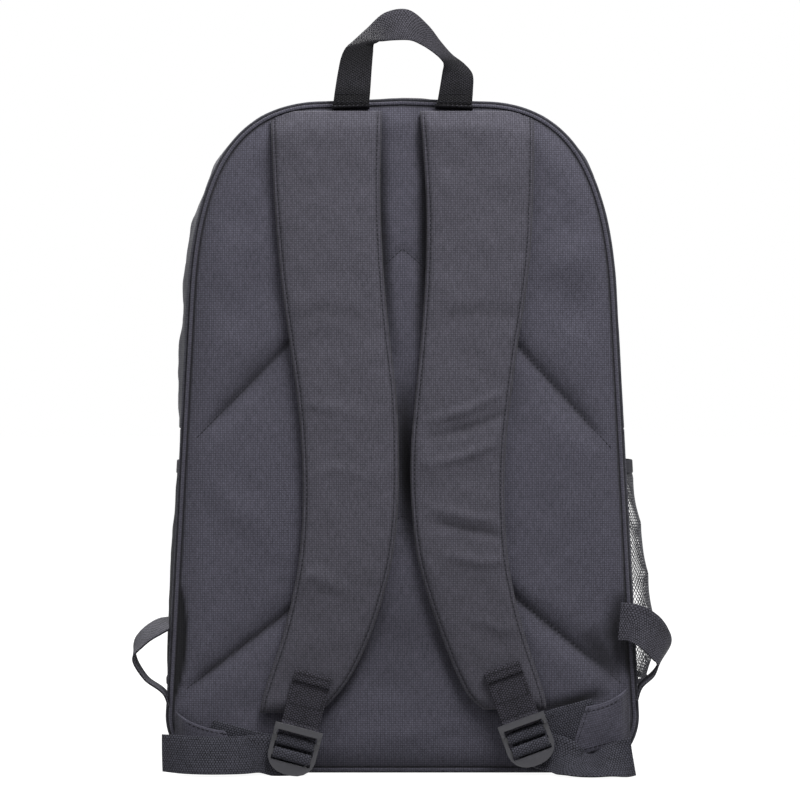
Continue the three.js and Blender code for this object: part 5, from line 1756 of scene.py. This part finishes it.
def add_lock_bar(piece):
    """The round bar that carries the tab, between two cheeks behind the hood."""
    bpy.ops.mesh.primitive_cylinder_add(vertices=16, radius=BAR_RADIUS * MM, depth=BAR_LENGTH * MM,
                                        rotation=(0, math.pi / 2, 0))
    bar = bpy.context.object
    bpy.ops.object.transform_apply(location=True, rotation=True, scale=True)
    parts = [bar]
    x, y, z = CHEEK_PLACE
    for hand in (-1, 1):
        bpy.ops.mesh.primitive_cube_add(size=1, location=(hand * x * MM, y * MM, z * MM))
        cheek = bpy.context.object
        cheek.scale = [size * MM for size in CHEEK_SIZE]
        bpy.ops.object.transform_apply(location=True, rotation=True, scale=True)
        finish_by_hand(cheek, ("BEVEL", LOCK_BEVEL))
        parts.append(cheek)
    bpy.ops.object.select_all(action="DESELECT")
    for part in (*parts, piece):
        part.select_set(True)
    bpy.context.view_layer.objects.active = piece
    bpy.ops.object.join()


# ---------- Metal sliders, pulls and the base board, refined from their nodes ----------
def join_triangles(tool):
    """Merges a node's loose triangles and joins those that lie in one face."""
    bmesh.ops.remove_doubles(tool, verts=tool.verts, dist=1e-6)
    bmesh.ops.dissolve_limit(tool, angle_limit=math.radians(4), verts=tool.verts, edges=tool.edges)


def refined(name, node, material, bevel, body, slot):
    """A copy of a node's mesh with its edges broken, in its place."""
    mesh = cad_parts[node].data.copy()
    mesh.name = name
    piece = linked(name, mesh)
    reworked(mesh, join_triangles)
    finish_by_hand(piece, ("BEVEL", {"width": bevel * MM, "segments": 2, "limit_method": "ANGLE",
                                     "angle_limit": math.radians(28)}))
    give_finish(piece, material)
    finish_by_hand(piece, ("WEIGHTED_NORMAL", {}))
    place_piece(piece, body, slot, node)


SLIDER_BREAK, PULL_BREAK, BOARD_BREAK = 0.3, 0.28, 0.4


def hardware():
    """Sliders and pulls of the three zips, and the board under the base's lining."""
    for side, _ in SIDES:
        slider, pull = "slider_" + side, "pull_" + side
        refined(slider, "main_" + slider, METAL, SLIDER_BREAK, slider, "zip_metal")
        refined(pull, "main_" + pull, METAL, PULL_BREAK, pull, "zip_metal")
    refined("pocket_zip_slider", "pocket_slider", METAL, SLIDER_BREAK, "pocket_runner", "zip_metal")
    refined("pocket_zip_pull", "pocket_pull", METAL, PULL_BREAK, "pocket_tab", "zip_metal")
    refined("stiffener_board", "base_board", BOARD, BOARD_BREAK, "bag", "board")


# ---------- Laptop divider ----------
DIVIDER_Y, DIVIDER_LOW_Z, DIVIDER_TOP_Z, DIVIDER_HALF_PAD = -21, 4, 300, 2.9
QUILT_PITCH = 56
# Section of the divider's binding, back and up from the divider's top.
TOP_TAPE_PROFILE = (
    (-2.9, 0), (-3.0, 4), (-2.6, 6.6), (-1.2, 7.8), (1.2, 7.8),
    (2.6, 6.6), (3.0, 4), (2.9, 0), (1.5, 0), (-1.5, 0),
)


def divider():
    """Padded divider, quilted in channels."""
    v = edge_stops(DIVIDER_TOP_Z - DIVIDER_LOW_Z, 3.0, 1.5)
    half = inner_half(DIVIDER_LOW_Z + v)
    u = np.concatenate([[0, 0.004, 0.012], np.linspace(0.03, 0.97, 88), [0.988, 0.996, 1.0]])
    x, level = np.broadcast_arrays((2 * u[None, :] - 1) * half[:, None], (DIVIDER_LOW_Z + v)[:, None])
    edge = np.minimum(level - DIVIDER_LOW_Z, DIVIDER_TOP_Z - level)
    edge = np.minimum(half[:, None] - np.abs(x), edge)
    channel = bell((level - 20) % QUILT_PITCH - QUILT_PITCH / 2, 2.0)
    puff = DIVIDER_HALF_PAD * np.sqrt(rounded(edge, 3.5)) * (1 - 0.45 * channel) + 0.1
    cloth = np.stack([x, level], -1)
    front, rear = at_depth(cloth, DIVIDER_Y - puff), at_depth(cloth, DIVIDER_Y + puff)
    # Painted shade in the quilted channels.
    piece = slab_object("divider_padded", front, rear, cloth, LINING, painted_shade=channel * 0.6)
    place_piece(piece, "bag", "lining", "laptop_divider")
    divider_tape()


def divider_tape():
    """Binding folded over the divider's top edge."""
    rings, low = 60, DIVIDER_TOP_Z + GAP
    half_top = float(inner_half(np.array([low]))[0]) - 1
    points, cloth = [], []
    for x in np.linspace(-half_top, half_top, rings):
        for index, (y, z) in enumerate(TOP_TAPE_PROFILE):
            points.append((x, DIVIDER_Y + y, low + z + 0.12 * math.sin(x * 0.3)))
            cloth.append((index * 2.2, x))
    faces = capped_tube_faces(rings, len(TOP_TAPE_PROFILE))
    piece = mesh_object("divider_tape", np.array(points), faces, [BINDING], np.array(cloth))
    turn_outwards(piece)
    place_piece(piece, "bag", "webbing", "divider_binding")


# ---------- Floor, light and camera ----------
FLOOR_SIZE, FLOOR_MATT, FLOOR_GLOW = 40, 0.26, 0.95
SOFT_SKY, BRIGHT_SKY = 0.22, 1.0
SOFT_BOXES = (
    ("key", (0.4, -0.85, 1.5), 0.7, 22),
    ("fill", (-1.3, -1.5, 1.5), 1.2, 8),
    ("rear", (-0.5, 1.1, 1.5), 0.8, 24),
)
LIT_PLACE = (0, 0, 0.24)
CAMERA_PLACE, CAMERA_LENS, CAMERA_SENSOR = (-0.0016, -2.26, 0.247), 150, 36


def white_floor():
    """A floor that looks white where it is seen, and lights the bag like a matt gray one."""
    bpy.ops.mesh.primitive_plane_add(size=FLOOR_SIZE)
    floor = bpy.context.object
    floor.name = "studio_floor"
    g = new_finish("white_floor")
    camera_ray, glossy_ray, passing_ray = (g.node("ShaderNodeLightPath", output=k) for k in (0, 3, 6))
    direct = g.math("MAXIMUM", camera_ray, g.math("MAXIMUM", glossy_ray, passing_ray))
    matt = g.node("ShaderNodeBsdfDiffuse", (), {"Color": gray(FLOOR_MATT)})
    glow = g.node("ShaderNodeEmission", (), {"Color": gray(1.0), "Strength": FLOOR_GLOW})
    both = g.node("ShaderNodeAddShader", (), {0: matt, 1: glow})
    shown = g.node("ShaderNodeMixShader", (), {0: direct, 1: matt, 2: both})
    g.node("ShaderNodeOutputMaterial", (), {"Surface": shown})
    floor.data.materials.append(g.owner)


def white_sky():
    """A soft even light from all round, behind which the background is white."""
    g = Graph(bpy.data.worlds.new("studio"))
    bpy.context.scene.world = g.owner
    soft, bright = (g.node("ShaderNodeBackground", (), {"Color": gray(1.0), "Strength": strength})
                    for strength in (SOFT_SKY, BRIGHT_SKY))
    camera_ray = g.node("ShaderNodeLightPath")
    shown = g.node("ShaderNodeMixShader", (), {0: camera_ray, 1: soft, 2: bright})
    g.node("ShaderNodeOutputWorld", (), {"Surface": shown})


def studio():
    white_floor()
    white_sky()
    for name, place, size, power in SOFT_BOXES:
        soft_box(name, place, size, power)


def soft_box(name, place, size, power):
    """A round soft light turned towards the bag's middle."""
    light = bpy.data.lights.new(name, "AREA")
    light.shape = "DISK"
    light.size = size
    light.energy = power
    lamp = linked(name, light)
    lamp.location = place
    lamp.rotation_euler = (Vector(LIT_PLACE) - Vector(place)).to_track_quat("-Z", "Y").to_euler()


def camera():
    """Looks straight at the wearer's side from a distance."""
    view = bpy.data.cameras.new("camera")
    view.lens = CAMERA_LENS
    view.sensor_width = CAMERA_SENSOR
    holder = linked("camera", view)
    holder.location = CAMERA_PLACE
    holder.rotation_euler = (math.pi / 2, 0, 0)
    bpy.context.scene.camera = holder


camera()
studio()
back_panel()
piping()
gusset()
rear_binding()
zip_tapes()
end_tabs()
front_panel()
front_binding()
front_pocket()
for side, sign in SIDES:
    net_pocket(side, sign)
    wing(side, sign)
    shoulder_strap(side)
    lock_tab(side)
    lock_wrap(side)
    ladder_lock(side)
    lead_webbing(side, sign)
    tail_webbing(side, sign)
    side_loop(side, sign)
haul_loop()
divider()
hardware()

bpy.context.scene.view_settings.view_transform = "Standard"
